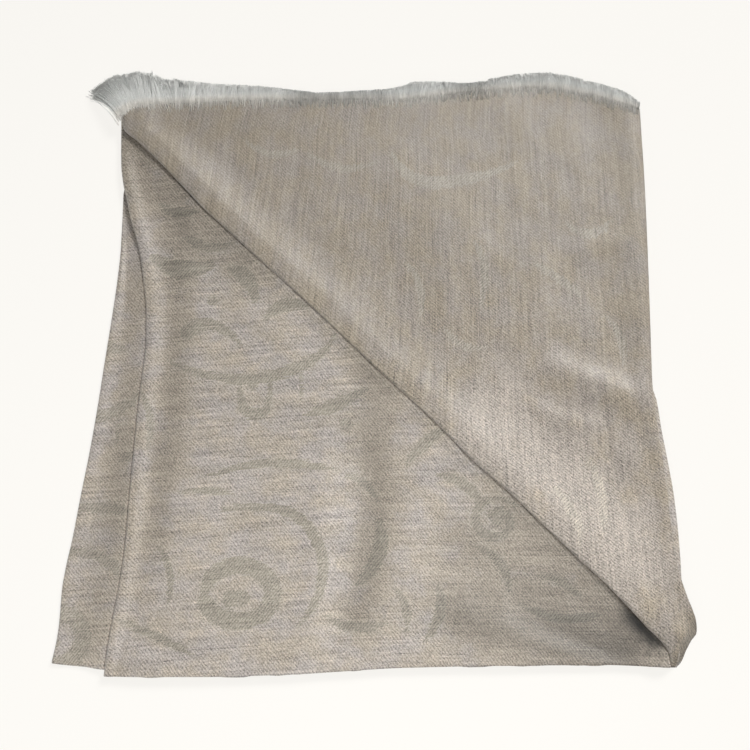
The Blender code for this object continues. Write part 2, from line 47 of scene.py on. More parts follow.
# %% [markdown]
# ## Camera, floor and light
# The folded shawl lies on a pale table and is looked at from almost straight above, a
# little from its front edge. A real camera stands about a metre away with a normal lens.
# We work in millimetres for the cloth and turn them into metres at the last step.

# %% Camera
MM = 0.001
MIDDLE = (-0.372, 2.529)  # the tables' own middle, which becomes the origin
LOOK_AT = (1 - MIDDLE[0], -12.5 - MIDDLE[1])
CAMERA_DISTANCE = 975
CAMERA_ELEVATION = math.radians(80)


def placed(name, data, place=(0, 0, 0), turn=(0, 0, 0)):
    piece = bpy.data.objects.new(name, data)
    bpy.context.scene.collection.objects.link(piece)
    piece.location, piece.rotation_euler = place, turn
    return piece


camera_data = bpy.data.cameras.new("camera")
camera_data.lens = 50
camera_data.sensor_width = 36
back = CAMERA_DISTANCE * math.cos(CAMERA_ELEVATION)
height = CAMERA_DISTANCE * math.sin(CAMERA_ELEVATION)
place = (LOOK_AT[0] * MM, (LOOK_AT[1] - back) * MM, height * MM)
camera = placed("camera", camera_data, place, (math.radians(90) - CAMERA_ELEVATION, 0, 0))
bpy.context.scene.camera = camera
print("camera at", [round(c, 3) for c in camera.location])

# %% [markdown]
# The light is that of a room by day: a high window at the far right, a broad soft fill from
# the near left, a low box at the left that catches the noses of the folds and the rims of
# the plies, and a small lamp over the near edge. The table glows instead of being lit, so
# it looks white and takes only a faint shadow.

# %% Floor and light
def plain_floor():
    mesh = bpy.data.meshes.new("table_top")
    mesh.from_pydata([(-3, -3, 0), (3, -3, 0), (3, 3, 0), (-3, 3, 0)], [], [(0, 1, 2, 3)])
    material = bpy.data.materials.new("pale_table")
    material.use_nodes = True
    inputs = material.node_tree.nodes["Principled BSDF"].inputs
    inputs["Base Color"].default_value = (0.13, 0.128, 0.122, 1)
    inputs["Roughness"].default_value = 0.9
    inputs["Specular IOR Level"].default_value = 0.1
    inputs["Emission Color"].default_value = (1, 0.98, 0.94, 1)
    inputs["Emission Strength"].default_value = 0.845
    mesh.materials.append(material)
    placed("table_top", mesh)


def soft_box(name, place, target, size, power, tint, spread=180):
    data = bpy.data.lights.new(name, "AREA")
    data.shape = "RECTANGLE"
    data.size, data.size_y = size
    data.energy = power
    data.color = tint
    data.spread = math.radians(spread)
    x, y, z = (p - t for p, t in zip(place, target))
    turn = (math.atan2(math.hypot(x, y), z), 0, math.atan2(y, x) + math.pi / 2)
    placed(name, data, place, turn)


plain_floor()
soft_box("window", (2.27, 2.27, 3.1), (0.05, -0.33, 0), (1.7, 1.5), 9.4, (1, 0.99, 0.97), 28)
soft_box("fill", (-1.3, -1.3, 1.6), (0, 0, 0), (1.5, 1.5), 4.2, (1, 0.995, 0.985))
soft_box("side", (-1.6, -1.4, 0.3), (0, 0, 0.01), (1.2, 0.5), 12, (1, 0.995, 0.985))
soft_box("lamp", (0.05, -0.42, 0.55), (0, -0.2, 0), (0.4, 0.3), 0.8, (1, 0.985, 0.96))
world = bpy.data.worlds.new("room")
bpy.context.scene.world = world
world.use_nodes = True
background = world.node_tree.nodes["Background"]
background.inputs["Color"].default_value = (1, 0.99, 0.975, 1)
background.inputs["Strength"].default_value = 0.2
bpy.context.scene.view_settings.view_transform = "Standard"
print("lights:", [light.name for light in bpy.data.lights])

# %% [markdown]
# ## Sizes of the folded cloth
# A folder works with the edge of the table and a few levels: how thick the hidden plies
# are, and on what level each doubled layer lies. Two plies of this cloth together are a
# little over two millimetres. The outlines are short tables of places that a smooth curve
# runs through, which is how a pattern cutter marks a soft edge.

# %% Levels
PLY_PAIR = 2.2  # a doubled layer, with the air in it
PLY = 1
GAP = 0.3  # air between doubled layers
HIDDEN_TOP = 6  # top of the hidden plies
FAR_LINE, FRONT_LINE = 252, -277  # the straight lines from which the two edges bend
PANEL_MID = HIDDEN_TOP + GAP + PLY_PAIR / 2
UNDER_MID = PANEL_MID + PLY_PAIR + GAP
CORNER_MID = UNDER_MID + PLY_PAIR + GAP
PLY_SHIFT = (PLY_PAIR - PLY) / 2
CLOTH_GRID = 2.5
COARSE_GRID = 6
print("levels (mm):", PANEL_MID, UNDER_MID, CORNER_MID, "grid", CLOTH_GRID)

# %% Outlines
DIAGONAL_ROLL = (  # y, x of its outer line, radius
    (252, -247, 2.6), (231, -245, 4), (214, -229, 4.8), (188, -204, 5.4), (117, -136, 4.8),
    (64, -78, 4.5), (10, -22, 4.4), (-44, 33, 4.6), (-92, 83, 5), (-134, 132, 5.4),
    (-184, 184, 6), (-239, 235, 5.6), (-263, 256, 3.6), (-277, 258, 2.2),
)
FAR_EDGE = (  # x, y of the fringed edge
    (-247, 249), (-222, 251.4), (-193, 253), (-120, 255.2), (25, 255.2), (74, 261),
    (122, 265.6), (166, 267.4), (200, 261.4), (229, 253), (256, 244),
)
CORNER_RIGHT = (  # y, x
    (252, 255.5), (155, 256.8), (57, 256.2), (-24, 255.3), (-38, 256.5), (-65, 258.9),
    (-93, 262.2), (-129, 265.3), (-165, 268), (-187, 270.7), (-201, 273.8), (-217, 279.3),
    (-227, 283.5), (-241, 287.4), (-247, 286.8), (-253, 281.5), (-261, 276.6), (-270, 272.8),
    (-274, 270), (-276, 267), (-277, 263.5),
)
STACK_RIGHT = (  # y, x
    (252, 250), (100, 252), (0, 252.5), (-24, 255.4), (-38, 259.5), (-65, 262.8), (-98, 267.7),
    (-129, 271.6), (-170, 274), (-200, 274.6), (-225, 273), (-245, 269), (-262, 263),
    (-275, 259),
)
PANEL_LEFT = (  # y, x
    (252, -246), (193, -243.6), (172, -240.6), (156, -236.4), (141, -233), (107, -223),
    (72, -217), (48, -214), (19, -213), (-9, -215), (-37, -217.5), (-111, -222), (-170, -225),
    (-205, -228.7), (-236, -233.6), (-257, -237), (-284, -239.5),
)
PANEL_FRONT = (  # x, y
    (-240, -284), (-154, -284), (-65, -281.5), (23, -276.5), (112, -274.6), (200, -274),
    (258, -276),
)
STRIP_LEFT = (  # y, x
    (246, -251), (219, -246), (193, -243), (165, -241.6), (138, -241.4), (108, -241.6),
    (83, -243), (42, -247), (1, -251.7), (-41, -256.3), (-83, -261.7), (-124, -268),
    (-165, -274), (-189, -278.4), (-210, -281), (-236, -281.8), (-253, -283.2), (-275, -286.8),
)
STRIP_FRONT = ((-287, -273), (-270, -275), (-257, -276), (-243, -278), (-220, -279))
FAR = (FAR_EDGE, FAR_LINE, 110)  # an edge, its straight line, how far in the bend reaches
FRONT = (PANEL_FRONT, FRONT_LINE, 60)
STRIP_END = (STRIP_FRONT, -276, 40)
print("outline points:", sum(map(len, (DIAGONAL_ROLL, FAR_EDGE, CORNER_RIGHT, PANEL_LEFT))))

# %% [markdown]
# ## Smooth curves and soft steps
# Blender could do this with Bezier curve objects. A few lines of numpy are lighter and let
# us ask for the edge at any place, so the same table serves the cloth, its plies and the
# fringe. The curve never overshoots its points, so a straight edge stays straight.


# %% Curve through a table
def along(rows, where, column=1):
    table = np.array(sorted(rows), float)
    knots, values = table[:, 0], table[:, column]
    steps = np.diff(knots)
    slopes = np.diff(values) / steps
    tangents = np.zeros(len(knots))
    tangents[0], tangents[-1] = slopes[0], slopes[-1]
    before, after = slopes[:-1], slopes[1:]
    same = before * after > 0
    safe = np.where(same, before + after, 1)
    tangents[1:-1] = np.where(same, 2 * before * after / safe, 0)
    place = np.clip(np.searchsorted(knots, where) - 1, 0, len(steps) - 1)
    step = steps[place]
    share = np.clip((where - knots[place]) / step, 0, 1)
    return (
        values[place] * (1 + 2 * share) * (1 - share) ** 2
        + tangents[place] * step * share * (1 - share) ** 2
        + values[place + 1] * share**2 * (3 - 2 * share)
        - tangents[place + 1] * step * share**2 * (1 - share)
    )


def ease(value):
    share = np.clip(value, 0, 1)
    return share * share * (3 - 2 * share)


def round_over(share):
    return 1 - np.sqrt(np.maximum(1 - (1 - share) ** 2, 0))


def at(rows, y, column=1):
    return float(along(rows, y, column))


def bend(x, y, edge):
    rows, line, reach = edge
    return y + ease(1 - np.abs(line - y) / reach) * (along(rows, x) - line)


def bow(start, middle, end, steps):
    return (1 - steps) ** 2 * start + 2 * steps * (1 - steps) * middle + steps**2 * end


print("left fold at y = 0:", round(at(PANEL_LEFT, 0), 1), "mm")

# %% [markdown]
# ## Creases and the cloth's own unevenness
# Cloth that has been folded and stroked flat keeps soft troughs and ridges. Each is listed
# as a short bent line with its own width and height. Under them goes a faint, slow
# waviness made from a few dozen plane waves, because no hand lays cloth dead flat. A cloth
# simulation would also give folds, but not at the places we want. Painted light and shade
# are laid the same way, as soft strokes that make the colour lighter or darker where light
# falls or shade gathers; they change the colour alone.

# %% Creases of the panel
PANEL_SWELL = 3.4  # how far the loose middle of the panel stands above its edges
PANEL_CREASES = (  # start, middle and end of the line, half width, height
    (-18, -34, 20, -160, -44, -282, 17, -3.6), (-50, -40, -36, -160, -72, -296, 13, 2.2),
    (28, -44, 56, -130, 44, -206, 20, 0.5), (62, -150, 52, -200, 70, -262, 14, -0.7),
    (176, -196, 196, -226, 214, -262, 14, -2), (-236, -236, -200, -246, -150, -272, 9, -2.4),
    (30, -104, 70, -140, 122, -186, 15, 1), (-150, 96, -128, 40, -132, -30, 15, -0.9),
    (-96, 60, -74, 12, -84, -52, 16, 0.6), (-110, -90, -84, -160, -98, -262, 18, 0.9),
    (96, -170, 120, -214, 112, -262, 12, 0.8), (-206, 176, -188, 150, -160, 112, 8, 0.9),
    (-176, 168, -150, 146, -120, 96, 9, -1.6),
)
VALLEY = (  # y, from the left fold to the valley behind it, width of the rise beyond
    (252, 14, 22), (160, 19, 26), (60, 21, 28), (-60, 20, 26), (-150, 18, 24), (-220, 15, 24),
    (-277, 12, 24),
)
FOLD_CREST = 1  # how far the puffy edge of the left fold stands above its bend
FRONT_RISE = ((-240, 2.6), (-120, 1.8), (0, 0.6), (120, 0.2), (258, 0.1))
ROLL_FOOT = (  # y, rise toward the roll's foot, its reach, share of the swell it takes
    (252, 3, 24, 0.6), (210, 4.4, 38, 1), (150, 4.4, 46, 1), (100, 3.4, 40, 0.75),
    (50, 2, 30, 0.45), (0, 1.6, 26, 0.35), (-60, 1.6, 28, 0.4), (-110, 2.6, 44, 0.65),
    (-150, 4.2, 66, 0.95), (-200, 4.4, 74, 1), (-250, 4.4, 56, 1), (-277, 1.6, 30, 0.6),
)
print("creases of the panel:", len(PANEL_CREASES))

# %% Creases of the turned-back corner and shape of its roll
CORNER_SWELL = 3
CORNER_CREASES = (
    (140, 4, 206, -26, 266, -48, 15, 3.5), (132, -38, 168, -60, 214, -66, 9, 1.5),
    (196, 236, 216, 160, 208, 80, 20, 0.9), (40, 214, 62, 120, 50, 20, 22, 0.8),
    (120, 240, 140, 120, 120, 0, 16, -0.9), (262, -176, 230, -170, 196, -150, 12, 0.9),
    (-130, 246, -110, 200, -100, 150, 14, 0.5), (-40, 248, -24, 180, -30, 110, 13, -0.4),
    (250, 120, 226, 100, 170, 104, 10, 0.6), (110, 30, 120, -30, 172, -94, 11, -1),
)
RIGHT_RISE = (  # y, rise of the cloth's right edge, width of the rise
    (252, 4.4, 56), (100, 4.6, 50), (0, 4.2, 30), (-60, 3.4, 14), (-140, 3, 11),
    (-180, 2.6, 10), (-215, 1, 10), (-277, 0, 10),
)
SLOPE_WIDTH = (  # y, width of the slope behind the roll's crest
    (252, 18), (205, 30), (150, 38), (90, 42), (30, 46), (-30, 48), (-80, 58), (-120, 70),
    (-160, 76), (-200, 62), (-239, 34), (-263, 16), (-275, 9),
)
SLOPE_SHAPE = ((0, 1), (0.08, 0.96), (0.2, 0.78), (0.35, 0.53), (0.55, 0.26), (0.8, 0.06), (1, 0))
CREST_SHARE = (  # y, height of the crest over the radius
    (252, 1.4), (200, 1.3), (140, 1.22), (80, 1.15), (-30, 1.2), (-100, 1.3), (-180, 1.2),
    (-235, 1.3), (-277, 1.8),
)
RIM_DROP, TIP_DROP, FACET_DROP = 1.2, 4, 3  # the right rim, the near tip and its very end
CREST_SET_BACK = 12  # from the roll's outer line to its crest
ROLL_INSET = (  # y, how far in from the solid's outline the cloth's own line lies
    (252, 1.6), (180, 1.4), (150, 1.4), (120, 3.6), (60, 3.2), (0, 3.6), (-60, 5.4), (-90, 3.6),
    (-120, 2.4), (-150, 0.4), (-180, 0.4), (-205, 2.4), (-230, 2.6), (-277, 1.8),
)
ROLL_LIP = (  # y, rise of the panel against the roll, how far short of the roll it turns down
    (252, 0, 1.7), (222, 0.6, 1.7), (195, 1.4, 1.6), (150, 2.1, 1.4), (100, 2.4, 1.2),
    (-150, 2.4, 1.15), (-190, 2, 1.3), (-225, 0.8, 1.7), (-256, 0.2, 1.7), (-266, 1.6, 1.3),
    (-277, 2.4, 1.2),
)
NOSE_SHARE = 0.86  # share of the rise to the crest that the tight bend at the foot makes
print("creases of the corner:", len(CORNER_CREASES))

# %% Painted light and shade
PANEL_PAINTED_LIGHT_AND_SHADE = (  # painted light and shade, laid like the creases; the last number says how much lighter the colour is painted
    (96, -112, 176, -186, 262, -286, 30, -0.2), (44, -136, 130, -206, 240, -300, 32, -0.15),
    (40, -222, 150, -242, 270, -268, 32, -0.28), (222, -222, 246, -248, 268, -276, 10, -0.3),
    (-262, 250, -196, 162, -84, 62, 34, -0.25), (-188, 190, -174, 0, -202, -232, 15, -0.23),
    (-14, 90, 24, -130, -30, -276, 22, -0.27), (-66, -50, -36, -160, -56, -262, 14, 0.09),
    (-24, -84, -18, -180, -44, -262, 11, 0.09), (46, -188, 68, -232, 118, -262, 19, -0.13),
    (100, -240, 180, -256, 256, -280, 15, -0.15), (216, -220, 238, -243, 257, -263, 8, -0.3),
    (-150, -60, -120, -150, -130, -240, 30, 0.04),
)
# painted light and shade on the turned-back corner
CORNER_PAINTED_LIGHT_AND_SHADE = (
    (60, -10, 180, -106, 256, -232, 54, 0.31), (136, 8, 204, -18, 268, -38, 12, 0.05),
    (52, 196, 62, 110, 56, 6, 8, -0.08), (240, 230, 246, 120, 250, -20, 16, -0.07),
    (298, -222, 290, -250, 260, -290, 13, -0.5),
)
# painted shade on the strip, beside the panel's fold
STRIP_PAINTED_SHADE = (
    (-226, 120, -223, 0, -236, -200, 11, -0.13), (-230, -40, -242, -170, -254, -290, 14, -0.16),
)


def creases(rows, x, y, fade=0.25):
    total = np.zeros(np.shape(x))
    steps = np.linspace(0, 1, 25)
    for ax, ay, bx, by, cx, cy, width, height in rows:
        line_x, line_y = bow(ax, bx, cx, steps), bow(ay, by, cy, steps)
        away = np.hypot(np.subtract.outer(x, line_x), np.subtract.outer(y, line_y))
        share = steps[away.argmin(axis=-1)]
        ends = ease(share / fade) * ease((1 - share) / fade)
        total = total + height * ends * np.exp(-((away.min(axis=-1) / width) ** 2))
    return total


# %% Waviness
def plane_waves(seed, count, shortest, longest):
    rng = np.random.default_rng(seed)
    length = np.exp(rng.uniform(np.log(shortest), np.log(longest), count))
    angle = rng.uniform(0, 2 * np.pi, count)
    turn = 2 * np.pi / length
    size = length / length.max()
    return turn * np.cos(angle), turn * np.sin(angle), rng.uniform(0, 2 * np.pi, count), size


def waviness(waves, x, y):
    total = np.zeros(np.broadcast(x, y).shape)
    for turn_x, turn_y, phase, size in zip(*waves):
        total = total + size * np.sin(turn_x * x + turn_y * y + phase)
    return total / np.sqrt((waves[3] ** 2).sum() / 2)


PANEL_WAVES = plane_waves(11, 34, 16, 95)
CORNER_WAVES = plane_waves(23, 34, 18, 110)
EDGE_WAVES = plane_waves(5, 16, 14, 70)
UNEVENNESS = 0.25  # mm
print("unevenness at one spot:", round(float(waviness(PANEL_WAVES, 10, 20)), 2))

# %% [markdown]
# ## Surfaces of the stretches of cloth
# The roll along the diagonal is the one full bend of the corner: the cloth comes out from
# below, turns over, and slopes down to lie on the layer below it. The main panel has a
# smaller bend at its left. Both are the same shape that the solids have, so the plies fit
# them; only the small creases are new. Where the panel meets the roll it rises in a soft
# lip and turns down sharply, which leaves the dark crevice under the roll.


# %% Roll line, panel and corner levels
SLANT = math.sqrt(2)  # a step square to the diagonal is this many times as long across a row


def roll_line(y):
    return along(DIAGONAL_ROLL, y) + (PLY_PAIR / 2 + along(ROLL_INSET, y)) * SLANT


def inside_roll(x, y):
    return (x - roll_line(y)) / SLANT


def panel_fold(y):
    width = roll_line(y) - along(PANEL_LEFT, y)
    free = ease((width - 10) / 50)
    return PANEL_MID - 2.5 - 0.3 * free, 1.25 + 1.25 * free


def right_rise(x, y):
    return along(RIGHT_RISE, y) * ease(1 - (along(CORNER_RIGHT, y) - x) / along(RIGHT_RISE, y, 2))


def panel_height(x, y):
    from_roll = -inside_roll(x, y)
    from_left = x - along(PANEL_LEFT, y)
    from_front = y - FRONT_LINE
    low, radius = panel_fold(y)
    valley, rise = along(VALLEY, y), along(VALLEY, y, 2)
    foot, reach, taken = (along(ROLL_FOOT, y, column) for column in (1, 2, 3))
    # the cloth swells up beyond the valley, less beside the roll and at the near edge
    swell = PANEL_SWELL * ease((from_left - valley) / rise)
    swell = swell * (1 - taken * ease(1 - (from_roll - 0.9 * reach) / (0.8 * reach)))
    lift = swell * (1 - 0.35 * ease(1 - from_front / 40)) + creases(PANEL_CREASES, x, y)
    # the near edge stands up a little, and so does the cloth at the foot of the roll
    lift = lift + along(FRONT_RISE, x) * ease(1 - (from_front - 3) / 26)
    near_roll = np.clip(1 - (from_roll - 2) / reach, 0, 1) ** 2
    lift = lift + foot * near_roll * ease(from_left / 30 - 0.4)
    lift = lift + UNEVENNESS * waviness(PANEL_WAVES, x, y)
    # nothing sinks into the layer below, and all of it dies out under the roll and the fold
    lift = np.maximum(lift, 0) * ease((from_roll + 20) / 17) * ease((from_left - 4) / 16)
    # behind the fold at the left the cloth falls from the top of the bend to the valley
    bend_down = ease(1 - (from_left - radius) / (valley - radius))
    puff = FOLD_CREST * ease((from_left - radius) / 3.5) * ease(1 - (from_left - 6) / (valley - 6))
    fold = (low + 2 * radius - PANEL_MID) * bend_down + puff * ease((from_roll - 4) / 30)
    return PANEL_MID + lift + fold


def panel_lip(x, y):
    from_roll = -inside_roll(x, y)
    turn = along(ROLL_LIP, y, 2)
    dive = round_over(np.clip((turn - from_roll) / 2.4, 0, 1))
    return along(ROLL_LIP, y) * np.where(from_roll > turn, ease(1 - (from_roll - turn) / 13), dive)


def roll_lift(y):
    line = roll_line(y)
    return np.clip(panel_height(line, y) - PANEL_MID, 0, 4.5) * ease((y + 268) / 25)


def crest_level(y):
    radius = along(DIAGONAL_ROLL, y, 2)
    return UNDER_MID + radius * along(CREST_SHARE, y) + 0.3 * roll_lift(y)


def corner_height(x, y):
    width = along(SLOPE_WIDTH, y)
    inside = inside_roll(x, y)
    down = np.clip((inside - CREST_SET_BACK) / width, 0, 1)
    # from the crest of the roll the cloth slopes down to lie on the layer below
    slope = (crest_level(y) - CORNER_MID) * along(SLOPE_SHAPE, down)
    lift = CORNER_SWELL * ease((inside - 0.9 * width) / 120)
    lift = lift + creases(CORNER_CREASES, x, y) + UNEVENNESS * waviness(CORNER_WAVES, x, y)
    lift = np.maximum(lift, 0) * ease((inside - CREST_SET_BACK) / width)
    # the near right tip hangs down, its very end most of all, and the right edge curls up
    from_right = along(CORNER_RIGHT, y) - x
    tip = ease((-205 - y) / 30) * ease(1 - from_right / 20)
    lift = lift * ease(from_right / 18 + 0.3) + right_rise(x, y)
    lift = lift - RIM_DROP * ease(1 - from_right / 5)
    facet = ease((-232 - y) / 8) * ease(1 - from_right / 15)
    return CORNER_MID + slope + lift - TIP_DROP * tip - FACET_DROP * facet


print("crest of the roll at y = 0:", round(float(crest_level(0)), 1), "mm")

# %% [markdown]
# ## From rows of points to cloth
# Each stretch is made as rows of points that run across it. Neighbouring rows are sewn
# together with triangles, also where one row has more points than the next, as on a
# triangle of cloth. Along with its place every point keeps its place in the flat, unfolded
# cloth. The weave is drawn from that, so it runs over the bend as real yarn does. The two
# faces of a ply are shaded smooth and its thin rim flat, which keeps the cut edge crisp.


# %% Rows into a surface
def places_between(first, last, grid):
    start = math.ceil(first / grid + 0.35)
    stop = math.floor(last / grid - 0.35)
    return np.array([grid * k for k in range(start, stop + 1)] + [last])


def stitch(first, second, keys):
    # step along the two rows of points, always on the one that lags behind
    faces = []
    i, j = 0, 0
    while i < len(first) - 1 or j < len(second) - 1:
        next_i = keys[first[i + 1]] if i < len(first) - 1 else math.inf
        next_j = keys[second[j + 1]] if j < len(second) - 1 else math.inf
        if next_i <= next_j:
            faces.append((first[i], second[j], first[i + 1]))
            i += 1
        else:
            faces.append((first[i], second[j], second[j + 1]))
            j += 1
    return faces


def paired(upper, lower):
    faces = []
    for k in range(len(upper) - 1):
        faces.append((upper[k], lower[k], upper[k + 1]))
        faces.append((upper[k + 1], lower[k], lower[k + 1]))
    return faces


def surface(rows, rolled, tails=None):
    points = np.vstack(rows)
    keys = points[:, 0].tolist()
    index, start = [], 0
    for row in rows:
        index.append(list(range(start, start + len(row))))
        start += len(row)
    tails = tails or [0] * len(rows)
    faces = []
    first = max(rolled - 1, 0)
    for upper, lower, *both in zip(index[:-1], index[1:], tails[:-1], tails[1:]):
        tail = min(both)
        faces.extend(paired(upper[:rolled], lower[:rolled]))
        stop = 1 - tail if tail else None
        faces.extend(stitch(upper[first:stop], lower[first:stop], keys))
        if tail:
            faces.extend(paired(upper[-tail:], lower[-tail:]))
    return points, np.array(faces)


# %% Surface into a ply
def rim_of(faces):
    # an edge that only one triangle has lies on the rim; we follow them round
    edges = {}
    for a, b, c in faces.tolist():
        for start, end in ((a, b), (b, c), (c, a)):
            if (end, start) in edges:
                del edges[(end, start)]
            else:
                edges[(start, end)] = True
    following = dict(edges.keys())
    first = next(iter(following))
    loop = [first]
    while following[loop[-1]] != first:
        loop.append(following[loop[-1]])
    return loop


def unit(vectors):
    return vectors / np.linalg.norm(vectors, axis=1)[:, None]


def ahead_of(loop):
    return np.roll(loop, -1, axis=0) - np.roll(loop, 1, axis=0)


def crossed(corner):
    return np.cross(corner[:, 1] - corner[:, 0], corner[:, 2] - corner[:, 0])


def normals_of(places, faces):
    across = crossed(places[faces])
    total = np.zeros(places.shape)
    for k in range(3):
        np.add.at(total, faces[:, k], across)
    return unit(total)


def ply_of(points, faces, shift, thickness):
    places = points[:, :3]
    normals = normals_of(places, faces)
    middle = places + normals * shift
    front, back = middle + normals * thickness / 2, middle - normals * thickness / 2
    loop = rim_of(faces)
    edge = middle[loop]
    rim = edge + unit(np.cross(ahead_of(edge), normals[loop])) * thickness * 0.35
    count, size = len(points), len(loop)
    p = 2 * count + np.arange(size)
    q = np.roll(p, -1)
    a = np.array(loop)
    b = np.roll(a, -1)
    sides = [(b, a, p), (b, p, q), (q, p, a + count), (q, a + count, b + count)]
    sides = [np.stack(side, axis=1) for side in sides]
    solid = np.vstack([faces, faces[:, ::-1] + count] + sides)
    extra = points[:, 3:]
    return np.vstack([front, back, rim]), solid, np.vstack([extra, extra, extra[loop]])


# %% Mesh with its cloth attributes
def make_piece(name, vertices, faces, attributes, smooth=None):
    places = (np.asarray(vertices) - (MIDDLE[0], MIDDLE[1], 0)) * MM
    mesh = bpy.data.meshes.new(name)
    mesh.from_pydata(places.tolist(), [], faces.tolist())
    mesh.validate()
    smooth = len(mesh.polygons) if smooth is None else smooth
    mesh.polygons.foreach_set("use_smooth", np.arange(len(mesh.polygons)) < smooth)
    for key, values in attributes.items():
        kind, field = ("FLOAT_VECTOR", "vector") if values.ndim == 2 else ("FLOAT", "value")
        layer = mesh.attributes.new(key, kind, "POINT")
        layer.data.foreach_set(field, np.asarray(values, np.float32).ravel())
    piece = placed(name, mesh)
    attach(piece, "root")
    print(name, len(mesh.polygons), "triangles")
    return piece


# %% [markdown]
# ## Rows of each stretch
# A row starts below the fold, turns up over it and runs out over the flat cloth. Its last
# two columns say where the point lies in the unfolded cloth, in millimetres. The panel has
# finer columns along its fold and beside the roll, where the cloth bends most.


# %% Rows over a fold
def row_of(x, y, z, flat_x):
    return np.stack([x, y, z, flat_x, y], axis=1)


def over_fold(low, radius, back, steps, lead):
    under = np.linspace(back, radius, lead, endpoint=False)
    angles = np.pi * (np.arange(steps + 1) / steps - 0.5)
    away = np.concatenate([under, radius * (1 - np.cos(angles))])
    level = np.concatenate([np.full(lead, low), low + radius * (1 + np.sin(angles))])
    quarter = radius * np.pi / 2
    unrolled = np.concatenate([-(quarter + under - radius), radius * angles])
    return away, level, unrolled


def roll_profile(y, room, lead, steps):
    radius = min(0.24 * at(DIAGONAL_ROLL, y, 2), 0.3 * room)
    set_back = min(CREST_SET_BACK, 0.45 * room)
    back = min(24, 0.62 * room)
    foot = min(float(roll_lift(y)), 0.3 * room)
    low = UNDER_MID + foot
    crest = max(min(float(crest_level(y)), low + radius + set_back), low + 2 * radius)
    # three stretches: in from below, up around the outermost line, and over to the crest
    under = np.linspace(back, radius, lead, endpoint=False)
    angles = np.pi / 2 * np.arange(steps + 1) / steps
    share = (np.arange(1, 2 * steps + 1) / (2 * steps)) ** 1.8
    nose = (1 - np.clip(1 - 1.8 * share, 0, 1) ** 3) ** (1 / 3)
    rise = NOSE_SHARE * nose + (1 - NOSE_SHARE) * np.sin(np.pi / 2 * share)
    away = np.concatenate([under, radius * (1 - np.sin(angles)), set_back * share])
    beneath = UNDER_MID + foot * ease((back - under) / (0.75 * back))
    bend_up = low + radius * (1 - np.cos(angles))
    level = np.concatenate([beneath, bend_up, low + radius + (crest - low - radius) * rise])
    return away, level, lead + steps, set_back


def corner_rows(grid, steps, lead, rim=0):
    rows = []
    fine = np.arange(-262, -275.6, -1.5)  # close rows at the near tip, which narrows fast
    for y in np.concatenate([np.arange(FAR_LINE, -262, -grid), fine]):
        line = float(roll_line(y))
        right = at(CORNER_RIGHT, y) + rim * float(waviness(EDGE_WAVES, 7, y))
        room = (right - line) / SLANT
        away, level, outermost, set_back = roll_profile(y, room, lead, steps)
        slope = max(min(at(SLOPE_WIDTH, y), room - set_back - 1), 0.5)
        shares = np.linspace(0, 1, 23)[1:] ** 1.1
        x = line + np.concatenate([away, set_back + shares * slope]) * SLANT
        if right - x[-1] > 0.35 * grid:
            x = np.concatenate([x, places_between(x[-1], right, grid)])
        z = np.concatenate([level, corner_height(x, y)[len(level) :]])
        run = np.cumsum(np.hypot(np.diff(x, prepend=x[0]) / SLANT, np.diff(z, prepend=z[0])))
        rows.append(row_of(x, bend(x, y, FAR), z, line + (run - run[outermost]) * SLANT))
    return rows, len(away) + len(shares)

# %% Rows of the main panel, the strip and the layer under the corner
BESIDE_ROLL = np.array(  # columns that follow the roll, so that the panel's lip stays smooth
    (-16, -12.5, -10, -8, -6.2, -4.8, -3.6, -2.6, -2, -1.6, -1.3, -1, -0.6, -0.1, 0.5, 1.2, 2.4, 5)
    + (13, 19, 27, 35)
)
BESIDE_FOLD = np.array([4, 6, 8.5, 11.5, 14.5, 18, 21.5, 25, 28.5])  # from the left fold


def panel_rows(grid, steps, lead, rim=0):
    count = len(BESIDE_ROLL)
    rows, tails = [], []
    for y in np.concatenate([np.arange(246, -272, -grid), [-273.5, -275.4, FRONT_LINE]]):
        line = at(PANEL_LEFT, y) + PLY_PAIR / 2
        tip = 9 * float(ease((-246 - y) / 20))  # the panel runs out to the near right tip
        roll = float(roll_line(y))
        right = min(roll + BESIDE_ROLL[-1] * SLANT, at(STACK_RIGHT, y) - 1 + tip)
        low, radius = (float(value) for value in panel_fold(y))
        away, level, unrolled = over_fold(low, radius, 12, steps, lead)
        tail = np.minimum(roll + BESIDE_ROLL * SLANT, right - 0.1 * np.arange(count)[::-1])
        start = line + BESIDE_FOLD[-1]
        wide = tail[0] > start + 1.2 * grid
        flat = places_between(start, tail[0] if wide else right, grid)
        tails.append(count if wide else 0)
        out = np.concatenate([line + BESIDE_FOLD, flat] + [tail[1:]] * wide)
        x = np.concatenate([line + away, out])
        z = np.concatenate([level, panel_height(out, y) + panel_lip(out, y)])
        run = np.concatenate([unrolled, radius * np.pi / 2 + out - line - radius])
        front = bend(x, y, FRONT)
        front = front + rim * ease(1 - (y - FRONT_LINE) / 6) * waviness(EDGE_WAVES, x, 3)
        rows.append(row_of(x, front, z, line + run))
    return rows, lead + steps + 1 + len(BESIDE_FOLD), tails


STRIP_MID = 0.65  # level of the middle of the strip's ply where it lies on the table
STRIP_TUCK = (162, 30, 7)  # y where it draws in below the panel, over what length, how far


